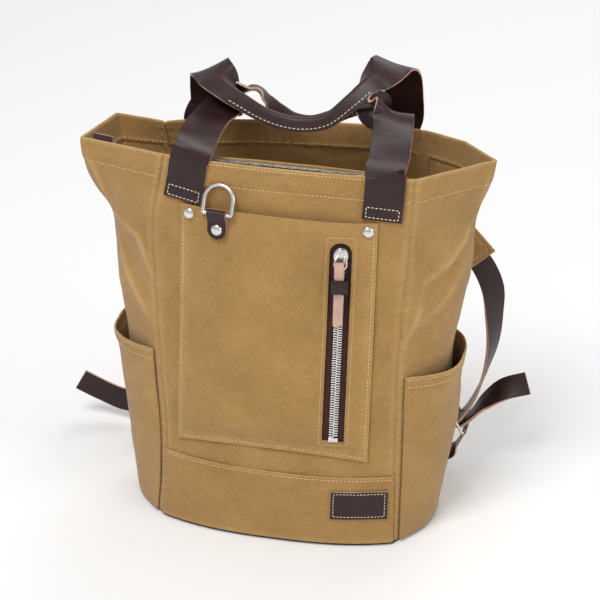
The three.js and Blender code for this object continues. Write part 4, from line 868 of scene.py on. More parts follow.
def band_folds(s, t):
    a, z = s * SPAN["front"], t * BAND
    soft = 0.6 * ripples(a, z, 31, 60) + 0.25 * ripples(a, z, 32, 24)
    pucker = 0.35 * np.sin(a * 0.66 + 2 * np.sin(a * 0.1)) * np.exp(-((BAND - z - 4) / 5) ** 2)
    ends = step_up(np.minimum(a, SPAN["front"] - a), 0, 12)
    # The second value is paleness: worn at the top and bottom edges, and a painted highlight on the ripple crests.
    return ends * soft * step_up(z, 0, 10) + pucker + 0.4 * step_up(z, BAND - 9, BAND - 7) - 0.4 * np.exp(
        -((BAND - z - 3) / 1.5) ** 2) - 1.2 * (1 - step_up(np.minimum(a, SPAN["front"] - a), 0, 3)), (
        0.5 * step_up(z, BAND - 2, BAND) + 0.2 * np.maximum(soft, 0) + 0.3 * (1 - step_up(z, 2, 7)))


BAND_INSET = 0.6 / SPAN["front"]


def band_place(s, t):
    up, inside = t * up_of(BAND), BAND_INSET + s * (1 - 2 * BAND_INSET)
    return front_wall(inside, up) + facing(front_wall, inside, up) * (GAP + CANVAS + band_folds(s, t)[0])[:, None]


lay("bottom_band_cloth", cut(120, 44), band_place, (SPAN["front"], BAND), [canvas], ["bottom_band"],
    edge=0.8, wear=lambda s, t: band_folds(s, t)[1])

# %% [markdown]
# ## Side pockets
# Each side pocket is a panel wider than the wall it covers, so it stands away from it, and its top edge hangs slack
# between the seams. The double-stitched hem keeps that edge stiff.

# %% Side pockets
SIDE_TOP, SIDE_PUFF, SIDE_SEWN = 184, 9, 7 / 195


def side_pocket(side):
    wall, top = WALLS[side], up_of(SIDE_TOP)

    def folds(s, t):
        a, z = s * SPAN[side], t * SIDE_TOP
        soft = 0.9 * ripples(a, z, SEEDS[side] + 40, 70) + 0.3 * ripples(a, z, SEEDS[side] + 41, 26)
        hang = step_up(np.minimum(a, SPAN[side] - a), 0, 22)
        hem = 0.6 * step_up(z, SIDE_TOP - 13, SIDE_TOP - 11) - 0.4 * np.exp(-((SIDE_TOP - z - 3) / 1.4) ** 2)
        pucker = 0.3 * np.sin(a * 0.7 + 2 * np.sin(a * 0.1)) * np.exp(-((SIDE_TOP - z - 7) / 6) ** 2)
        lean = 1.5 * step_up(z, SIDE_TOP - 30, SIDE_TOP)
        # The second value is paleness: worn along the top edge, and a painted highlight on the ripple crests.
        return hang * (soft + lean) + hem * hang + pucker * hang, 0.6 * step_up(z, SIDE_TOP - 2.5, SIDE_TOP) + (
            0.25 * np.maximum(soft, 0))

    def place(s, t):
        share = SIDE_SEWN + s * (1 - 2 * SIDE_SEWN)
        up = t * top
        lift = 1 + SIDE_PUFF * bow(s) * (0.25 + 0.75 * step_up(up, 0, top)) + CANVAS
        return wall(share, up) + facing(wall, share, up) * (lift + folds(s, t)[0])[:, None]

    return place, folds


SIDE_POCKETS = {side: side_pocket(side) for side in ("left", "right")}
for side, (place, folds) in SIDE_POCKETS.items():
    lay(f"side_pocket_{side}_cloth", cut(96, 90), place, (SPAN[side], SIDE_TOP), [canvas],
        [f"side_pocket_{side}"], edge=0.8, wear=lambda s, t, folds=folds: folds(s, t)[1])
print("side pockets laid:", list(SIDE_POCKETS))

# %% [markdown]
# ## Inside the mouth
# A canvas divider hangs behind the front, a few millimetres below the rim, and a zip joins its top edge to the
# front. Both tape halves are one woven band here, because the closed chain hides the line between them.

# %% Divider and mouth tape
DIVIDER_TOP, DIVIDER_LOW, DIVIDER_MARGIN, SETBACK = 387, 150, 5 / 244, 24


def divider_place(s, t):
    up = up_of(DIVIDER_LOW) + t * (up_of(DIVIDER_TOP) - up_of(DIVIDER_LOW))
    p = front_wall(DIVIDER_MARGIN + s * (1 - 2 * DIVIDER_MARGIN), up)
    hang = (0.45 + 0.55 * bow(s)) * np.sin(math.pi / 2 * t)
    p[:, 1] += CANVAS + ROOM + SETBACK * hang + 0.5 * t * ripples(s * 234, t * 237, 51, 60)
    return p


def mouth_place(s, t, lift=0.0):
    x = (s - 0.5) * 180
    front = on_wall("front", x, HEIGHT - 3, -CANVAS - ROOM)
    share = (across_front(x, up_of(DIVIDER_TOP)) - DIVIDER_MARGIN) / (1 - 2 * DIVIDER_MARGIN)
    back = divider_place(share, np.ones(len(share)))
    back[:, 1] -= CANVAS - ROOM
    back[:, 2] = DIVIDER_TOP - 3
    p = between(front, back, t)
    p[:, 2] += lift
    return p


lay("divider_cloth", cut(90, 90), divider_place, (234, 237), [canvas], ["inner_divider"], edge=0.8,
    wear=lambda s, t: 0.6 * step_up(t, 0.99, 1))
lay("mouth_tape_band", cut(110, 12), mouth_place, (180, 24), [zip_tape], ["mouth_zip_tape"], thick=1,
    edge=0.2)

# %% [markdown]
# ## Straps along a path
# A strap is a long narrow pattern laid along a path. The path is a smooth curve through stations, each with its
# centre and the direction across the strap. The handles' grips are folded lengthwise round a soft spine, so each
# station also says how far it is folded: 0 is flat and 1 is both halves hanging side by side.

# %% Paths


class Path:
    def __init__(self, rows):
        self.centres = np.array([row["centre"] for row in rows], float)[:, None]
        self.crosses = np.array([row["across"] for row in rows], float)[:, None]
        self.crosses /= np.linalg.norm(self.crosses, axis=-1, keepdims=True)
        self.folds = np.array([row.get("fold", 0) for row in rows], float)
        self.dense = np.linspace(0, 1, 60 * len(rows))
        steps = np.diff(smooth_curve(self.centres, self.dense), axis=0)
        self.run = np.concatenate([[0], np.cumsum(np.linalg.norm(steps, axis=1))])
        self.length = self.run[-1]

    def at(self, t):
        """Centre, across and outward directions and the fold at shares t of the path's length."""
        share = np.interp(np.clip(t, 0, 1) * self.length, self.run, self.dense)
        centre = smooth_curve(self.centres, share)
        along = smooth_curve(self.centres, share + 1e-3) - smooth_curve(self.centres, share - 1e-3)
        along /= np.linalg.norm(along, axis=1, keepdims=True)
        across = smooth_curve(self.crosses, share)
        across -= along * (across * along).sum(1, keepdims=True)
        across /= np.linalg.norm(across, axis=1, keepdims=True)
        fold = np.interp(share * (len(self.folds) - 1), np.arange(len(self.folds)), self.folds)
        return centre, across, np.cross(across, along), fold

    def strap(self, width, lift=0.0, spine=3.0, waist=0.2):
        """Where a strap of this width lies, lifted off the path to its outer face. Folded, it is narrower."""

        def place(s, t):
            centre, across, out, fold = self.at(t)
            angle = fold * math.pi / 2
            half = width / 2 * (1 - waist * fold)
            u = (2 * s - 1) * half
            turn = np.minimum(np.abs(u) / spine, angle)
            straight = np.abs(u) - turn * spine
            x = np.sign(u) * (spine * np.sin(turn) + straight * np.cos(angle) - lift * np.sin(turn))
            y = spine * (1 - np.cos(turn)) + straight * np.sin(angle) + lift * np.cos(turn)
            deep = spine * (1 - np.cos(angle)) + (half - spine * angle) * np.sin(angle)
            return centre + across * x[:, None] + out * (y - deep / 2)[:, None]

        return place


def rest_on(side, x, z, width, thick, dx=1.0, dz=0.0):
    """A flat band resting on a bowed wall: its edges stand off by as much as the wall bows under it."""
    left, middle, right = (on_wall(side, x + k * width * dx, z + k * width * dz, ROOM + thick / 2)[0]
                           for k in (-0.5, 0, 0.5))
    chord = (left + right) / 2
    return {"centre": chord + (middle - chord) * 2, "across": right - left}


# %% [markdown]
# ## Handles
# Two bridle leather handles, 38 mm wide, are sewn to the outside of front and back. Bridle leather is stiff enough
# to stand up and lean over by itself. The stations were read from the photograph for the front handle, which leans
# back into the mouth, and the back one, which stands and leans forward over it.

# %% Handles
HANDLE_WIDTH, HANDLE_SPAN, HANDLE_FOOT, RISE, REACH = 38, 193, 42.5, 70, 60
FRONT_GRIP = """-0.90 -1.06 0.12 1 0 0 0; -0.87 -0.88 0.28 0.97 0.2 0 0; -0.84 -0.60 0.37 0.95 0.3 0 0;
-0.79 -0.25 0.42 0.9 0.42 0 0; -0.71 0.10 0.49 0.75 0.65 0 0; -0.60 0.30 0.55 0.4 0.9 -0.1 0;
-0.49 0.44 0.56 0.1 0.95 -0.3 0; -0.38 0.49 0.46 0.05 0.98 -0.3 0.1; -0.27 0.49 0.29 0 0.95 -0.35 0.5;
-0.14 0.47 0.17 0 0.93 -0.35 1; 0.07 0.47 0.13 0 0.93 -0.35 1; 0.28 0.44 0.24 0 0.93 -0.35 1;
0.47 0.37 0.42 -0.1 0.93 -0.25 0.8; 0.62 0.28 0.57 -0.25 0.93 -0.05 0.35; 0.79 0 0.59 -0.5 0.85 0 0;
0.92 -0.30 0.66 -0.78 0.55 0 0; 1.01 -0.46 0.74 -0.9 0.2 0.2 0; 1.03 -0.60 0.68 -0.96 0.15 0.2 0;
1.035 -0.80 0.44 -0.99 0.08 0.05 0; 1.03 -0.95 0.22 -1 0 0 0; 1.01 -1.06 0.08 -1 0 0 0"""
BACK_GRIP = """-1.0 0.85 0.14 1 0.24 0.1 0; -0.99 0.78 0.45 0.97 0.12 0.25 0; -0.96 0.60 0.72 0.9 0.1 0.4 0;
-0.90 0.33 0.85 0.85 0.2 0.48 0; -0.80 0.05 0.85 0.65 0.6 0.4 0; -0.66 -0.12 0.74 0.35 0.9 0.1 0.25;
-0.49 -0.17 0.57 0.1 0.97 -0.2 0.65; -0.28 -0.18 0.41 0 0.93 -0.35 1; 0.04 -0.18 0.32 0 0.93 -0.35 1;
0.35 -0.17 0.41 0 0.93 -0.35 1; 0.58 -0.05 0.70 -0.25 0.93 -0.15 0.65; 0.74 0.15 0.97 -0.6 0.75 0.2 0.25;
0.85 0.25 1.07 -0.85 0.35 0.35 0; 0.93 0.55 1.09 -0.96 0.1 0.22 0; 0.98 0.82 0.88 -0.99 0 0.08 0;
1.0 0.97 0.50 -1 0 0 0; 1.0 1.08 0.16 -1 0 0 0"""


def handle_path(table, shift, side):
    """Feet on the wall, and between them the free stations: across, deep, rise, direction across, fold."""
    share_of = across_front if side == "front" else across_back
    seams = ("frontLeft", "frontRight") if side == "front" else ("backLeft", "backRight")
    low = up_of(HEIGHT - HANDLE_FOOT)

    def foot(end, z):
        ends = [section(name, up_of(z)) * WIDTH / 2 for name in seams]
        at_low = [section(name, low) * WIDTH / 2 for name in seams]
        share = (shift + end * HANDLE_SPAN / 2 - at_low[0]) / (at_low[1] - at_low[0])
        row = rest_on(side, ends[0] + share * (ends[1] - ends[0]), z, HANDLE_WIDTH, LEATHER)
        return {"centre": row["centre"], "across": row["across"] * -end}

    free = []
    for line in table.split(";"):
        across, deep, rise, wx, wy, wz, fold = map(float, line.split())
        free.append({"centre": (shift + across * HANDLE_SPAN / 2, deep * REACH, HEIGHT + rise * RISE),
                     "across": (wx, wy, wz), "fold": fold})
    heights = [HEIGHT - HANDLE_FOOT, HEIGHT - HANDLE_FOOT / 2, HEIGHT]
    return Path([foot(-1, z) for z in heights] + free + [foot(1, z) for z in reversed(heights)])


HANDLES = {
    "front": handle_path(FRONT_GRIP, -3, "front"),
    "back": handle_path(BACK_GRIP, -6, "back"),
}
for side, path in HANDLES.items():
    grip = lay(f"{side}_handle_leather", cut(26, 260), path.strap(HANDLE_WIDTH, LEATHER / 2),
               (HANDLE_WIDTH, path.length), [leather, raw_edge], [f"{side}_handle"], thick=LEATHER,
               edge=0.35, wear=lambda s, t, path=path: path.at(t)[3] * np.exp(-((s - 0.5) / 0.12) ** 2))
    print(side, "handle is", round(path.length), "mm long")

# %% [markdown]
# ## Shoulder straps
# A padded canvas strap leaves the back near the top, narrows to leather, turns through a wire buckle and ends in a
# loose tail. A short lower strap joins the buckle to the foot of the back. The leather holds its own curve.

# %% Shoulder straps
PAD_WIDTH, PAD_THICK, STRAP_WIDTH, STRAP_THICK, STRAP_REACH, STRAP_BACK = 56, 5, 24, 3, 205, 30
BUCKLE_WIRE, BUCKLE_DEEP, BUCKLE_TILT, LOWER_WIDTH, LOWER_HEIGHT = 3.2, 22, math.radians(60), 20, 18
PAD_ROWS = "0.25 0 0.82 0.6 0 0.8; 0.44 0.35 0.77 0.62 0 0.78; 0.63 0.55 0.695 0.66 0 0.75; 0.80 0.66 0.600 0.7 0 0.7"
SIDES = {
    "right": {
        "sign": 1, "buckle": (0.77, 0.67, 0.143),
        "upper": """0.76 0.87 0.645 0.7 0 0.7; 0.84 0.9 0.595 0.8 0.2 0.5; 0.895 0.93 0.53 0.8 0.5 0.25;
            0.91 0.95 0.455 0.6 0.78 0.1; 0.912 0.93 0.37 0.35 0.92 0; 0.885 0.85 0.29 0.1 1 0;
            0.84 0.72 0.215 0 1 0""",
        "tail": """0.83 0.74 0.158 0 1 0.05; 0.89 0.87 0.195 0 0.9 0.4; 0.985 1.0 0.235 0 0.65 0.75;
            1.10 1.1 0.257 0 0.5 0.85""",
    },
    "left": {
        "sign": -1, "buckle": (0.78, 0.67, 0.12),
        "upper": """0.75 0.86 0.65 0.7 0 0.7; 0.84 0.9 0.607 0.8 0.2 0.5; 0.915 0.93 0.53 0.8 0.5 0.25;
            0.965 0.95 0.42 0.55 0.8 0.1; 0.995 0.93 0.29 0.3 0.95 0; 0.97 0.85 0.21 0.1 1 0;
            0.89 0.72 0.165 0 1 0""",
        "tail": """0.84 0.78 0.096 0 1 0.2; 0.92 0.95 0.074 0 0.75 0.65; 1.02 1.05 0.063 0 0.2 0.95;
            1.14 1.0 0.085 0 0 1; 1.255 0.85 0.118 0 0 1""",
    },
}


def strap_rows(sign, table):
    rows = []
    for line in table.split(";"):
        across, behind, height, wx, wy, wz = map(float, line.split())
        rows.append({"centre": (sign * across * STRAP_REACH, DEPTH / 2 + behind * STRAP_BACK, height * HEIGHT),
                     "across": (sign * wx, wy, wz)})
    return rows


def buckle_axes(strap):
    across, behind, height = strap["buckle"]
    sign = strap["sign"]
    centre = np.array([sign * across * STRAP_REACH, DEPTH / 2 + behind * STRAP_BACK, height * HEIGHT])
    down = np.array([sign * math.cos(BUCKLE_TILT), 0, -math.sin(BUCKLE_TILT)])
    out = np.array([sign * math.sin(BUCKLE_TILT), 0, math.cos(BUCKLE_TILT)])
    return centre, down, out


def flat_rows(points, across):
    return [{"centre": p, "across": across} for p in points]


STRAP_PATHS = {}
for side, strap in SIDES.items():
    sign = strap["sign"]
    centre, down, out = buckle_axes(strap)
    turn = (BUCKLE_WIRE + STRAP_THICK) / 2 + GAP
    around = [(-1, 1), (-1, 0), (-0.7, -0.7), (0, -1), (0.7, -0.7), (1, 0), (1, 1)]
    wrap = flat_rows([centre + down * d * turn + out * o * turn for d, o in around], (0, 1, 0))
    STRAP_PATHS[side] = Path(strap_rows(sign, strap["upper"]) + wrap + strap_rows(sign, strap["tail"]))
    lay(f"shoulder_strap_{side}_leather", cut(14, 320), STRAP_PATHS[side].strap(STRAP_WIDTH, STRAP_THICK / 2),
        (STRAP_WIDTH, STRAP_PATHS[side].length), [leather, raw_edge], [f"shoulder_strap_{side}"],
        thick=STRAP_THICK, edge=0.4)

    bar, hug = BUCKLE_DEEP / 2, BUCKLE_WIRE / 2 + ROOM + THIN_LEATHER / 2
    loop = [(bar - 0.7 * hug, 0.7 * hug), (bar, hug), (bar + 0.7 * hug, 0.7 * hug), (bar + hug, 0)]
    head = flat_rows([centre + down * d + out * o for d, o in loop], (0, 1, 0))
    free = [{"centre": (sign * x * WIDTH / 2, DEPTH / 2 + behind * STRAP_BACK, height * HEIGHT),
             "across": (0, 1 - turned, turned)}
            for x, behind, height, turned in ((1.30, 0.60, 0.080, 0), (1.25, 0.53, 0.055, 0.3),
                                              (1.13, 0.40, 0.046, 0.7))]
    seated = flat_rows([on_wall("back", sign * k * WIDTH / 2, LOWER_HEIGHT, GAP + THIN_LEATHER)[0]
                        for k in (0.93, 0.75)], (0, 0, 1))
    lower = Path(head + free + seated)
    lay(f"lower_strap_{side}_leather", cut(12, 120), lower.strap(LOWER_WIDTH, THIN_LEATHER / 2),
        (LOWER_WIDTH, lower.length), [leather, raw_edge], [f"lower_strap_{side}"],
        thick=THIN_LEATHER, edge=0.3)
    print(side, "strap:", round(STRAP_PATHS[side].length), "mm, lower:", round(lower.length), "mm")

# %% [markdown]
# The pads are two layers of canvas with felt between them, sewn together 5 mm in from the edge. The pattern gets
# its thickness while it is still flat, and is laid with a section that swells between the seams.

# %% Shoulder pads


def pad_swell(s, t):
    edge_gap = np.minimum(np.minimum(s, 1 - s) * PAD_WIDTH, np.minimum(t, 1 - t) * 150)
    return 0.42 + 0.58 * step_up(edge_gap, 5, 12) - 0.1 * np.exp(-((edge_gap - 5) / 1.3) ** 2)


PADS = {}
for side, strap in SIDES.items():
    rows = strap_rows(strap["sign"], PAD_ROWS)
    first = rows[0]
    rows[0] = rest_on("back", first["centre"][0], first["centre"][2], PAD_WIDTH, PAD_THICK + 2 * ROOM,
                      *np.array(first["across"])[[0, 2]])
    PADS[side] = path = Path(rows)
    flat = cut(56, 130)
    bmesh.ops.solidify(flat, geom=flat.faces, thickness=1.0)
    low = min(v.co.z for v in flat.verts)
    mesh = bpy.data.meshes.new(f"shoulder_pad_{side}_cloth")
    flat.to_mesh(mesh)
    flat.free()
    co = np.empty(len(mesh.vertices) * 3)
    mesh.vertices.foreach_get("co", co)
    s, t, layer = co.reshape(-1, 3).T
    layer = np.round(layer - low) - 0.5
    at, across, facing_out, _ = path.at(t)
    laid = at + across * ((s - 0.5) * PAD_WIDTH)[:, None] + facing_out * (
        layer * PAD_THICK * pad_swell(s, t) + 0.2 * ripples(s * PAD_WIDTH, t * 150, 61, 30))[:, None]
    mesh.vertices.foreach_set("co", (laid * MM).ravel())
    corners = np.empty(len(mesh.loops), int)
    mesh.loops.foreach_get("vertex_index", corners)
    mesh.uv_layers.new(name="pattern").data.foreach_set(
        "uv", (np.stack([s * PAD_WIDTH, t * path.length], -1)[corners] * MM).ravel())
    edge_gap = np.minimum(np.minimum(s, 1 - s) * PAD_WIDTH, np.minimum(t, 1 - t) * 150)
    mesh.attributes.new("wear", "FLOAT", "POINT").data.foreach_set("value", 0.6 * np.exp(-(edge_gap / 2) ** 2))
    mesh.update()
    pad = placed(mesh.name, mesh, [canvas], [f"shoulder_pad_{side}"])
print("pads:", list(PADS), "of", round(path.length), "mm")

# %% [markdown]
# ## Leather patch
# A bare patch of thin leather is sewn to the right of the band. It has been handled, so its corners lift a little
# from the cloth and its top edge curls out.

# %% Patch
PATCH_X, PATCH_Z, PATCH_WIDTH, PATCH_HEIGHT = 84, 48, 54, 31


def patch_place(s, t):
    x, z = PATCH_X + (s - 0.5) * PATCH_WIDTH, PATCH_Z + (t - 0.5) * PATCH_HEIGHT
    curl = 1.5 * step_up(t, 0.88, 1) * (0.6 + 0.4 * np.sin(7 * s)) + 0.8 * step_up(np.abs(s - 0.5), 0.44, 0.5)
    return on_wall("front", x, z, 2 * GAP + CANVAS + THIN_LEATHER + curl + 0.25 * ripples(s * 54, t * 31, 71, 22))


lay("leather_patch_blank", cut(54, 32), patch_place, (PATCH_WIDTH, PATCH_HEIGHT), [leather, raw_edge],
    ["leather_patch"], thick=THIN_LEATHER, edge=0.35, wear=lambda s, t: 0.9 * step_up(t, 0.9, 1) + 0.5 * step_up(
        np.abs(s - 0.5), 0.46, 0.5))
print("patch", PATCH_WIDTH, "by", PATCH_HEIGHT, "mm")

# %% [markdown]
# ## Small hard parts
# A hard part is drawn flat in its own axes, in mm, and then stood on the cloth where it belongs. The stance of a
# part is found from the laid cloth itself: across, up the cloth, and out of it.

# %% Stance, plates and wires


def stance(place, s, t, step=1e-3):
    """Axes in metres standing on a laid piece at shares s and t."""
    p = place(np.array([s, s + step, s - step, s, s]), np.array([t, t, t, t + step, t - step], float))
    across = p[1] - p[2]
    across /= np.linalg.norm(across)
    out = np.cross(across, p[3] - p[4])
    out /= np.linalg.norm(out)
    axes = Matrix((across, np.cross(out, across), out)).transposed().to_4x4()
    return Matrix.Translation(Vector(p[0] * MM)) @ axes @ Matrix.Scale(MM, 4)


def strip_on(place, x, z, width=20, height=20):
    """A patch of the front round x and z as a place of its own, so that a part can stand in its middle."""
    return lambda s, t: place(x + (s - 0.5) * width, z + (t - 0.5) * height, 0)


def plate_of(outline, thick, rounding=0.4):
    """A flat plate in mm with its edges rounded: a disc whose corners are moved to the outline, and thickened."""
    plate = bmesh.new()
    bmesh.ops.create_circle(plate, cap_ends=True, segments=len(outline), radius=1)
    for corner, (x, y) in zip(plate.verts, outline):
        corner.co = (x, y, 0)
    bmesh.ops.recalc_face_normals(plate, faces=plate.faces)
    made = bmesh.ops.extrude_face_region(plate, geom=plate.faces[:])
    bmesh.ops.translate(plate, verts=[v for v in made["geom"] if isinstance(v, bmesh.types.BMVert)],
                        vec=(0, 0, thick))
    bmesh.ops.recalc_face_normals(plate, faces=plate.faces)
    rims = [e for e in plate.edges if e.calc_face_angle(0) > 1]
    bmesh.ops.bevel(plate, geom=rims, offset=rounding, offset_type="OFFSET", segments=3, profile=0.5,
                    affect="EDGES", material=-1)
    return plate


def join(whole, part):
    """Adds a shape to another one, and clears it."""
    passed = bpy.data.meshes.new("passed")
    part.to_mesh(passed)
    whole.from_mesh(passed)
    part.free()
    bpy.data.meshes.remove(passed)


def stand(name, shape, axes, materials, nodes=(), body="bag"):
    """Stands a shape drawn in mm on its axes, and hands it over as an object."""
    bmesh.ops.transform(shape, matrix=axes, verts=shape.verts)
    mesh = bpy.data.meshes.new(name)
    shape.to_mesh(mesh)
    shape.free()
    unwrap(mesh)
    return placed(name, mesh, materials, nodes, body)


def wire(shape, points, diameter, closed=False):
    """Adds a round wire bent along points, in mm, to a shape."""
    curve = bpy.data.curves.new("wire", "CURVE")
    curve.dimensions, curve.bevel_depth, curve.bevel_resolution, curve.use_fill_caps = "3D", diameter / 2, 5, True
    line = curve.splines.new("POLY")
    line.points.add(len(points) - 1)
    line.use_cyclic_u = closed
    for knot, point in zip(line.points, points):
        knot.co = (*point, 1)
    holder = bpy.data.objects.new("wire", curve)
    scene.collection.objects.link(holder)
    mesh = bpy.data.meshes.new_from_object(holder.evaluated_get(bpy.context.evaluated_depsgraph_get()))
    shape.from_mesh(mesh)
    for data, group in ((holder, bpy.data.objects), (curve, bpy.data.curves), (mesh, bpy.data.meshes)):
        group.remove(data)


def rounded(corners, radius, steps=6):
    """A closed outline through corners, each turned with this radius."""
    points = []
    for before, corner, after in zip(corners[-1:] + corners[:-1], corners, corners[1:] + corners[:1]):
        a, b, c = (np.array(p, float) for p in (before, corner, after))
        start = b + (a - b) / np.linalg.norm(a - b) * radius
        end = b + (c - b) / np.linalg.norm(c - b) * radius
        for k in np.linspace(0, 1, steps):
            points.append(tuple((1 - k) ** 2 * start + 2 * k * (1 - k) * b + k * k * end))
    return points


# %% [markdown]
# ## Rivets
# A rivet cap is stamped from sheet into a low dome with a thin flat brim. Spinning half its section round the axis
# gives the same form.

# %% Rivets


def rivet(name, x, z, lift, node):
    cap = bmesh.new()
    profile = [(0.01, 2.6)] + [(5.1 * math.sin(a), 0.75 + 1.85 * math.cos(a)) for a in np.linspace(0.15, 1.5, 9)]
    profile += [(5.25, 0.62), (5.5, 0.5), (5.5, 0.1), (5.3, 0)]
    knots = [cap.verts.new((r, 0, h)) for r, h in profile]
    edges = [cap.edges.new(pair) for pair in zip(knots, knots[1:])]
    bmesh.ops.spin(cap, geom=knots + edges, cent=(0, 0, 0), axis=(0, 0, 1), steps=40, angle=2 * math.pi,
                   use_merge=True)
    bmesh.ops.remove_doubles(cap, verts=cap.verts, dist=0.02)
    bmesh.ops.holes_fill(cap, edges=cap.edges, sides=0)
    bmesh.ops.recalc_face_normals(cap, faces=cap.faces)
    axes = stance(strip_on(on_pocket, x, z), 0.5, 0.5) @ Matrix.Translation((0, 0, lift))
    return stand(name, cap, axes, [nickel], [node])


RING_X = -61.5
rivet("rivet_cap_left", POCKET_LEFT + 9, POCKET_TOP - 8, CANVAS + ROOM, "pocket_rivet_left")
rivet("rivet_cap_right", POCKET_LEFT + POCKET_WIDTH - 9, POCKET_TOP - 8, CANVAS + ROOM, "pocket_rivet_right")
TAB_SEAT, TAB_LENGTH, TAB_WIDTH, RING_WIRE = CANVAS + ROOM, 26, 19, 4
rivet("rivet_cap_tab", RING_X, POCKET_TOP - 2 - 0.62 * TAB_LENGTH, TAB_SEAT + 2 * THIN_LEATHER + GAP + ROOM,
      "tab_rivet")

# %% [markdown]
# ## D-ring and its tab
# The ring is one piece of 4 mm wire, bent to a D and welded in the straight side. It hangs in the fold of a small
# leather tab, and can swing. The tab is a strip with a round end, folded over the bar and riveted through both
# legs, so it is laid along a path like the other straps.

# %% D-ring
FOLD = RING_WIRE / 2 + GAP
BAR_LIFT = TAB_SEAT + THIN_LEATHER + FOLD
bar_axes = stance(strip_on(on_pocket, RING_X, POCKET_TOP - 2), 0.5, 0.5, step=TAB_WIDTH / 2 / 20)
reach, half = 28, 14.5
lean = math.asin((float(pocket_lift(RING_X, POCKET_TOP)) + BAR_LIFT - RING_WIRE / 2 - 1) / reach)
arch = [(half * math.cos(a), reach - half + half * math.sin(a)) for a in np.linspace(0, math.pi, 28)]
corner_arc = rounded([(-half, 6), (-half, 0), (half, 0), (half, 6)], 2.5)
bend = [p for p in corner_arc if p[1] < 2.6]
outline = [(x, y, 0) for x, y in bend + arch]
ring = bmesh.new()
wire(ring, outline, RING_WIRE, closed=True)
stand("d_ring_wire", ring, bar_axes @ Matrix.Translation((0, 0, BAR_LIFT)) @ Matrix.Rotation(-lean, 4, "X"),
      [nickel], ["d_ring"], body="ring")

front_leg = TAB_SEAT + THIN_LEATHER * 1.5 + GAP
over = [(0 + 3.1 * math.sin(a), BAR_LIFT - 3.1 * math.cos(a)) for a in np.linspace(0, math.pi, 9)]
section_line = [(-TAB_LENGTH, TAB_SEAT + 0.8), (-18, TAB_SEAT + 0.8), (-8, TAB_SEAT + 0.8)] + over + [
    (-7.8, front_leg + 0.3), (-13, front_leg), (-19, front_leg), (-TAB_LENGTH, front_leg)]
tab_path = Path([{"centre": (0, y, z), "across": (-1, 0, 0)} for y, z in section_line])
bar_grid = np.array(bar_axes)


def tab_place(s, t):
    end_gap = np.minimum(t, 1 - t) * tab_path.length
    half_width = np.sqrt(np.maximum(9.5**2 - np.maximum(9.5 - end_gap, 0) ** 2, 0.04))
    centre, across, out, _ = tab_path.at(t)
    flat = centre + across * ((2 * s - 1) * half_width)[:, None] + out * THIN_LEATHER / 2
    return (flat @ bar_grid[:3, :3].T + bar_grid[:3, 3]) / MM


lay("d_ring_tab_leather", cut(24, 90), tab_place, (TAB_WIDTH, tab_path.length), [leather, raw_edge],
    ["d_ring_tab"], thick=THIN_LEATHER, edge=0.35)
print("ring leans back by", round(math.degrees(lean)), "degrees")

# %% [markdown]
# ## Pocket zip
# The zip has a woven tape, two rows of metal teeth that mesh like fingers, a square stop and a slider. A real tooth
# is a clamped lump of metal, so each is a small cube, and all are rounded at once. The two rows are half a pitch
# apart.

# %% Pocket zip
SLIDER_TOP = ZIP_HIGH - WINDOW / 4
SLIDER_LOW = SLIDER_TOP - 19
CHAIN_LOW = ZIP_LOW + 2 * GAP + 5


def zip_place(lift):
    return lambda s, t: on_pocket(ZIP_X + (s - 0.5) * 31, ZIP_LOW - 3 + t * (ZIP_HIGH - ZIP_LOW + 6), lift)


lay("pocket_zip_band", cut(16, 110), zip_place(-1), (31, ZIP_HIGH - ZIP_LOW + 6), [zip_tape],
    ["pocket_zip_tape"], thick=1, edge=0.2)


def teeth(name, place, length, pitch, size, apart, node):
    """Two rows of teeth along the middle of a place, from its share t of 0 to 1, as one object."""
    rows = bmesh.new()
    for k in range(int(2 * length / pitch)):
        side = 1 if k % 2 else -1
        axes = stance(place, 0.5, (k + 0.5) * pitch / 2 / length)
        bmesh.ops.create_cube(rows, size=1, matrix=axes @ Matrix.Translation((side * apart, 0, size[2] / 2))
                              @ Matrix.Diagonal((*size, 1)))
    bmesh.ops.bevel(rows, geom=rows.edges[:], offset=0.18 * MM, offset_type="OFFSET", segments=2, profile=0.5,
                    affect="EDGES", material=-1)
    return stand(name, rows, Matrix.Identity(4), [nickel], [node])


chain = SLIDER_LOW - GAP - CHAIN_LOW
teeth("pocket_zip_chain", lambda s, t: on_pocket(ZIP_X + (s - 0.5) * 10, CHAIN_LOW + t * chain, 0), chain, 2.5,
      (4.6, 1.35, 2.4), 2.0, "pocket_zip_teeth")
stop = bmesh.new()
bmesh.ops.create_cube(stop, size=1, matrix=Matrix.Translation((0, 0, 1.3)) @ Matrix.Diagonal((9.5, 5, 2.6, 1)))
bmesh.ops.bevel(stop, geom=stop.edges[:], offset=0.6, offset_type="OFFSET", segments=3, profile=0.5,
                affect="EDGES", material=-1)
stand("pocket_zip_end", stop, stance(strip_on(on_pocket, ZIP_X, ZIP_LOW + GAP + 2.5), 0.5, 0.5), [nickel],
      ["pocket_zip_stop"])
teeth("mouth_zip_chain", lambda s, t: mouth_place(0.02 + 0.96 * t, 0.5 + 0 * s, 0.3) - np.array([0, 0.1, 0]) * (
    (s - 0.5)[:, None]), 172.8, 2.3, (3.2, 1.2, 2.2), 1.4, "mouth_zip_teeth")

# %% [markdown]
# The slider is a cast body, wide and round at the top where the two rows part, with a wire bail that holds the
# pull. The pull is a strip of undyed leather, and a dark leather keeper holds its two layers together.

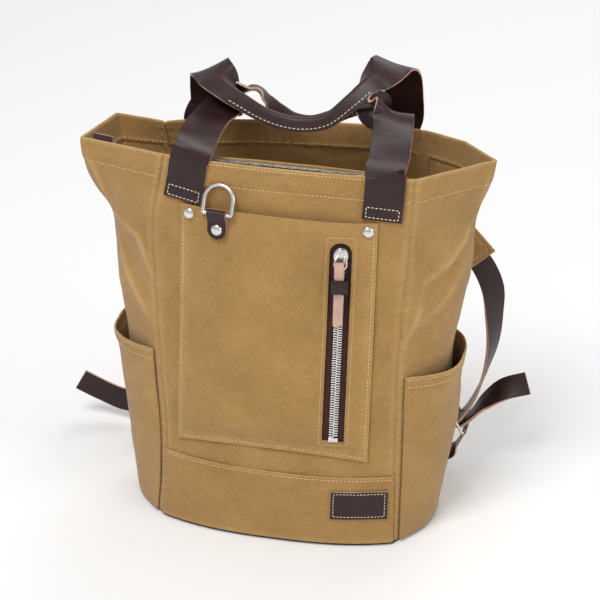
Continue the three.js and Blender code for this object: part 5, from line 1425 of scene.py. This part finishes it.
# %% Slider, pull and keeper
axes = stance(strip_on(on_pocket, ZIP_X, (SLIDER_TOP + SLIDER_LOW) / 2), 0.5, 0.5) @ Matrix.Translation((0, 0, GAP))
turns = np.linspace(0, 2 * math.pi, 48, endpoint=False)
body_outline = [(7 * math.cos(a) * (1 if math.sin(a) > 0 else 1 - 0.45 * abs(math.sin(a)) ** 1.3),
                 9.5 * math.copysign(abs(math.sin(a)) ** 0.8, math.sin(a))) for a in turns]
slider = plate_of(body_outline, 1.4)
crown = plate_of([(x * 0.97, y * 0.97) for x, y in body_outline], 1.9, 0.85)
bmesh.ops.translate(crown, verts=crown.verts, vec=(0, 0, 2.2))
bridge = plate_of([(2.6 * math.cos(a), 2.6 * math.sin(a) + 4) for a in turns], 2.0, 0.3)
bmesh.ops.translate(bridge, verts=bridge.verts, vec=(0, 0, 0.9))
for part in (crown, bridge):
    join(slider, part)
bail_side = [(2.6, 3.0, 3.8), (3.9, 1.2, 5.2), (5.0, -1, 6.6), (5.7, -3.6, 7.6), (5.6, -6, 8), (4.4, -8.2, 8.2)]
bail = [(-x, y, z) for x, y, z in bail_side] + [(-2.2, -9.4, 8.3), (2.2, -9.4, 8.3)] + bail_side[::-1]
wire(slider, bail, 2.1)
stand("pocket_zip_slide", slider, axes, [nickel], ["pocket_zip_slider"])

PULL_TOP = (SLIDER_TOP + SLIDER_LOW) / 2 - 2.2


def pull_centre(t):
    return 2.6 + GAP + 4 * GAP + THIN_LEATHER + 1.2 + 4 * (1 - t) ** 3


def pull_place(s, t):
    return on_pocket(ZIP_X + (s - 0.5) * 9, PULL_TOP - (1 - t) * 66, pull_centre(1 - t) + 1.2)


lay("pocket_zip_pull_strip", cut(10, 70), pull_place, (9, 66), [flesh, raw_edge],
    ["pocket_zip_pull"], thick=2.4, edge=0.4)
keeper = bmesh.new()
bmesh.ops.create_circle(keeper, cap_ends=False, segments=64, radius=1)
for corner, a in zip(keeper.verts, np.linspace(0, 2 * math.pi, 64, endpoint=False)):
    x, z = math.cos(a), math.sin(a)
    corner.co = (8 * math.copysign(abs(x) ** 0.3, x), -7, 4 * math.copysign(abs(z) ** 0.3, z))
made = bmesh.ops.extrude_edge_only(keeper, edges=keeper.edges[:])
bmesh.ops.translate(keeper, verts=[v for v in made["geom"] if isinstance(v, bmesh.types.BMVert)], vec=(0, 14, 0))
bmesh.ops.recalc_face_normals(keeper, faces=keeper.faces)
bmesh.ops.solidify(keeper, geom=keeper.faces[:], thickness=THIN_LEATHER)
bmesh.ops.recalc_face_normals(keeper, faces=keeper.faces)
rims = [e for e in keeper.edges if e.calc_face_angle(0) > 1]
bmesh.ops.bevel(keeper, geom=rims, offset=0.35, offset_type="OFFSET", segments=2, profile=0.5, affect="EDGES",
                material=-1)
axes = stance(strip_on(on_pocket, ZIP_X, PULL_TOP - 0.38 * 66), 0.5, 0.5) @ Matrix.Translation(
    (0, 0, pull_centre(0.38)))
stand("pull_keeper_band", keeper, axes, [leather], ["pull_keeper"])
print("zip parts done; the chain is", round(chain), "mm long")

# %% [markdown]
# ## Corner tab and buckles
# A thin leather tab is folded over the rim inside the left corner. The buckles are plain wire frames with a middle
# bar, welded in the middle of one long side.

# %% Corner tab and buckles


def corner_tab_place(s, t):
    z = HEIGHT - 30 + t * 36
    up = np.minimum(up_of(z), 1)
    share = 0.57 + 0.12 * (1 - s)
    p = WALLS["left"](share, up) - facing(WALLS["left"], share, up) * (CANVAS + 3 * GAP)
    p[:, 2] += np.maximum(z - HEIGHT, 0)
    return p


lay("corner_tab_leather", cut(20, 36), corner_tab_place, (22, 36), [leather, raw_edge], ["corner_tab"],
    thick=THIN_LEATHER, edge=0.35)
for side, strap in SIDES.items():
    centre, down, out = buckle_axes(strap)
    across = np.array([0, 1, 0])
    half = STRAP_WIDTH / 2 + BUCKLE_WIRE / 2 + 2 * GAP
    frame_line = rounded([(-11, -half), (11, -half), (11, half), (-11, half)], 3)
    buckle = bmesh.new()
    wire(buckle, [centre + down * d + across * a for d, a in frame_line], BUCKLE_WIRE, closed=True)
    wire(buckle, [centre + across * a for a in np.linspace(-half, half, 5)], BUCKLE_WIRE)
    stand(f"strap_buckle_{side}_wire", buckle, Matrix.Scale(MM, 4), [nickel], [f"strap_buckle_{side}"])
print("buckles are", 2 * round(half), "mm wide")

# %% [markdown]
# ## Stitching
# Every seam that shows is a row of single stitches, about six to the inch. Each stitch is a short fat thread that
# dives into the cloth at both ends, so a flattened ball is enough. A row is given on the piece's flat pattern, and
# is walked at an even pitch over the laid cloth, so the stitches follow its folds. Machine stitches lean a little,
# and no two are quite alike.

# %% Stitches
threads = {"canvas": bmesh.new(), "leather": bmesh.new()}
dice = np.random.default_rng(17)


def sew(kind, place, row, pitch=4.0, length=3.0, thick=0.95, lift=0.15, inside=False):
    """Sews a row of stitches over a laid piece; the row is a list of shares (s, t) of its pattern."""
    row = np.array(row, float)
    walk = np.linspace(0, len(row) - 1, 40 * len(row))
    s, t = (np.interp(walk, np.arange(len(row)), row[:, k]) for k in (0, 1))
    points = place(s, t)
    run = np.concatenate([[0], np.cumsum(np.linalg.norm(np.diff(points, axis=0), axis=1))])
    count = int(run[-1] // pitch)
    at = (np.arange(count) + 0.5) * run[-1] / max(count, 1)
    s, t = np.interp(at, run, s), np.interp(at, run, t)
    ends = [np.stack([np.interp(at + k, run, points[:, axis]) for axis in range(3)], -1) for k in (-1, 1)]
    step = 2e-3
    out = np.cross(place(s + step, t) - place(s - step, t), place(s, t + step) - place(s, t - step))
    out /= np.linalg.norm(out, axis=1, keepdims=True) * (-1 if inside else 1)
    sewn = bmesh.new()
    for start, end, up in zip(*ends, out):
        along = Vector(end - start).normalized()
        up = Vector(up)
        side = up.cross(along).normalized()
        along = (along + side * dice.uniform(0.02, 0.16)).normalized()
        side = up.cross(along).normalized()
        axes = Matrix((along * length / 2 * dice.uniform(0.92, 1.05), side * thick / 2, up * thick * 0.42))
        middle = Vector((start + end) / 2) + up * lift
        bmesh.ops.create_uvsphere(sewn, u_segments=6, v_segments=4, radius=1, matrix=Matrix.Scale(
            MM, 4) @ Matrix.Translation(middle) @ axes.transposed().to_4x4() @ Matrix.Rotation(math.pi / 2, 4, "Y"))
    join(threads[kind], sewn)
    return count


def across_at(t, low=0.02, high=0.98):
    return [(low + k * (high - low), t) for k in np.linspace(0, 1, 12)]


hem_up = up_of(HEIGHT - HEM)
total = 0
for side in WALLS:
    total += sew("canvas", cloth_wall(side), across_at(hem_up, 0.012, 0.988))
    for s in (0.014, 0.986):
        total += sew("canvas", cloth_wall(side), [(s, hem_up), (s, 0.5 + hem_up / 2), (s, 0.996)], thick=0.5,
                     pitch=3.4, length=2.2)
    if side != "front":
        total += sew("canvas", cloth_wall(side, -CANVAS - 1.2), across_at(hem_up, 0.012, 0.988), inside=True)
total += sew("canvas", cloth_wall("front"), across_at(up_of(HEIGHT - 3.5), 0.13, 0.87), pitch=3.6, length=2.6)
total += sew("canvas", divider_place, across_at(0.983, 0.13, 0.87), pitch=3.6, length=2.6, inside=False)
total += sew("canvas", lambda s, t: divider_place(s, t) - np.array([0, CANVAS, 0]), across_at(0.983, 0.02, 0.98),
             pitch=3.6, length=2.6)
edge_s, edge_t = 3.2 / POCKET_WIDTH, 3.4 / (POCKET_TOP - POCKET_BOTTOM)
total += sew("canvas", pocket_place, [(edge_s, k) for k in np.linspace(0.985, edge_t, 14)]
             + [(k, edge_t) for k in np.linspace(edge_s, 1 - edge_s, 14)]
             + [(1 - edge_s, k) for k in np.linspace(edge_t, 0.985, 14)], lift=0.0)


def pocket_share(x, z):
    s = (x - POCKET_LEFT) / POCKET_WIDTH
    low = POCKET_BOTTOM + ARCH * float(bow(np.array(s)))
    return s, (z - low) / (POCKET_TOP - low)


frame_x, frame_low, frame_high = WINDOW / 2 + 3.2, ZIP_LOW - 4.5, ZIP_HIGH + 5
corners = rounded([(ZIP_X - frame_x, frame_low), (ZIP_X + frame_x, frame_low), (ZIP_X + frame_x, frame_high),
                   (ZIP_X - frame_x, frame_high)], 3)
window_row = [pocket_share(x, z) for x, z in corners + corners[:1]]
total += sew("canvas", pocket_place, window_row, pitch=3.4, length=2.5, thick=0.7, lift=0.0)
total += sew("canvas", band_place, across_at(1 - 3.4 / BAND, 0.012, 0.988), lift=0.0)
for side, (place, _) in SIDE_POCKETS.items():
    for drop in (3.4, 11.5):
        total += sew("canvas", place, across_at(1 - drop / SIDE_TOP, 0.012, 0.988), lift=0.0)
print("canvas stitches so far:", total)

# %% [markdown]
# Leather is sewn with a thicker cream thread: a box at each foot of the handles, the folded edge of the grips and a
# border round the patch. The pads get a row of canvas thread along their sides and end.

# %% Stitches in leather


def box_row(low_s, high_s, low_t, high_t):
    return [(low_s, low_t), (high_s, low_t), (high_s, high_t), (low_s, high_t), (low_s, low_t)]


leather_total = 0
for side, path in HANDLES.items():
    outer = path.strap(HANDLE_WIDTH, LEATHER / 2)
    inner = path.strap(HANDLE_WIDTH, -LEATHER / 2)
    mm = 1 / path.length
    for low, high in ((2.5 * mm, 12.5 * mm), (1 - 12.5 * mm, 1 - 2.5 * mm)):
        flip = side == "back"
        leather_total += sew("leather", inner if flip else outer, box_row(0.09, 0.91, low, high), pitch=3.8,
                             length=2.9, thick=0.85, inside=flip)
    shares = np.linspace(0, 1, 400)
    folded = shares[path.at(shares)[3] > 0.4]
    for s in (0.1, 0.9):
        leather_total += sew("leather", inner, [(s, t) for t in np.linspace(folded[0], folded[-1], 12)], pitch=4.2,
                             length=3.1, thick=0.9, inside=True)
leather_total += sew("leather", patch_place, box_row(0.05, 0.95, 0.09, 0.91), pitch=3.4, length=2.5, thick=0.75)
for side, path in PADS.items():
    for out_side in (True, False):
        sign = 1 if out_side else -1

        def face(s, t, path=path, sign=sign):
            at, across, facing_out, _ = path.at(t)
            return at + across * ((s - 0.5) * PAD_WIDTH)[:, None] + facing_out * (
                sign * 0.5 * PAD_THICK * pad_swell(s, t) + 0.2 * ripples(s * PAD_WIDTH, t * 150, 61, 30))[:, None]

        total += sew("canvas", face, [(0.09, t) for t in np.linspace(0, 0.965, 10)]
                     + [(s, 0.965) for s in np.linspace(0.09, 0.91, 6)]
                     + [(0.91, t) for t in np.linspace(0.965, 0, 10)], lift=0.0, inside=not out_side)
for kind, material in (("canvas", canvas_thread), ("leather", leather_thread)):
    mesh = bpy.data.meshes.new(f"{kind}_stitches")
    threads[kind].to_mesh(mesh)
    threads[kind].free()
    placed(mesh.name, mesh, [material])
print("stitches:", total, "in canvas and", leather_total, "in leather")
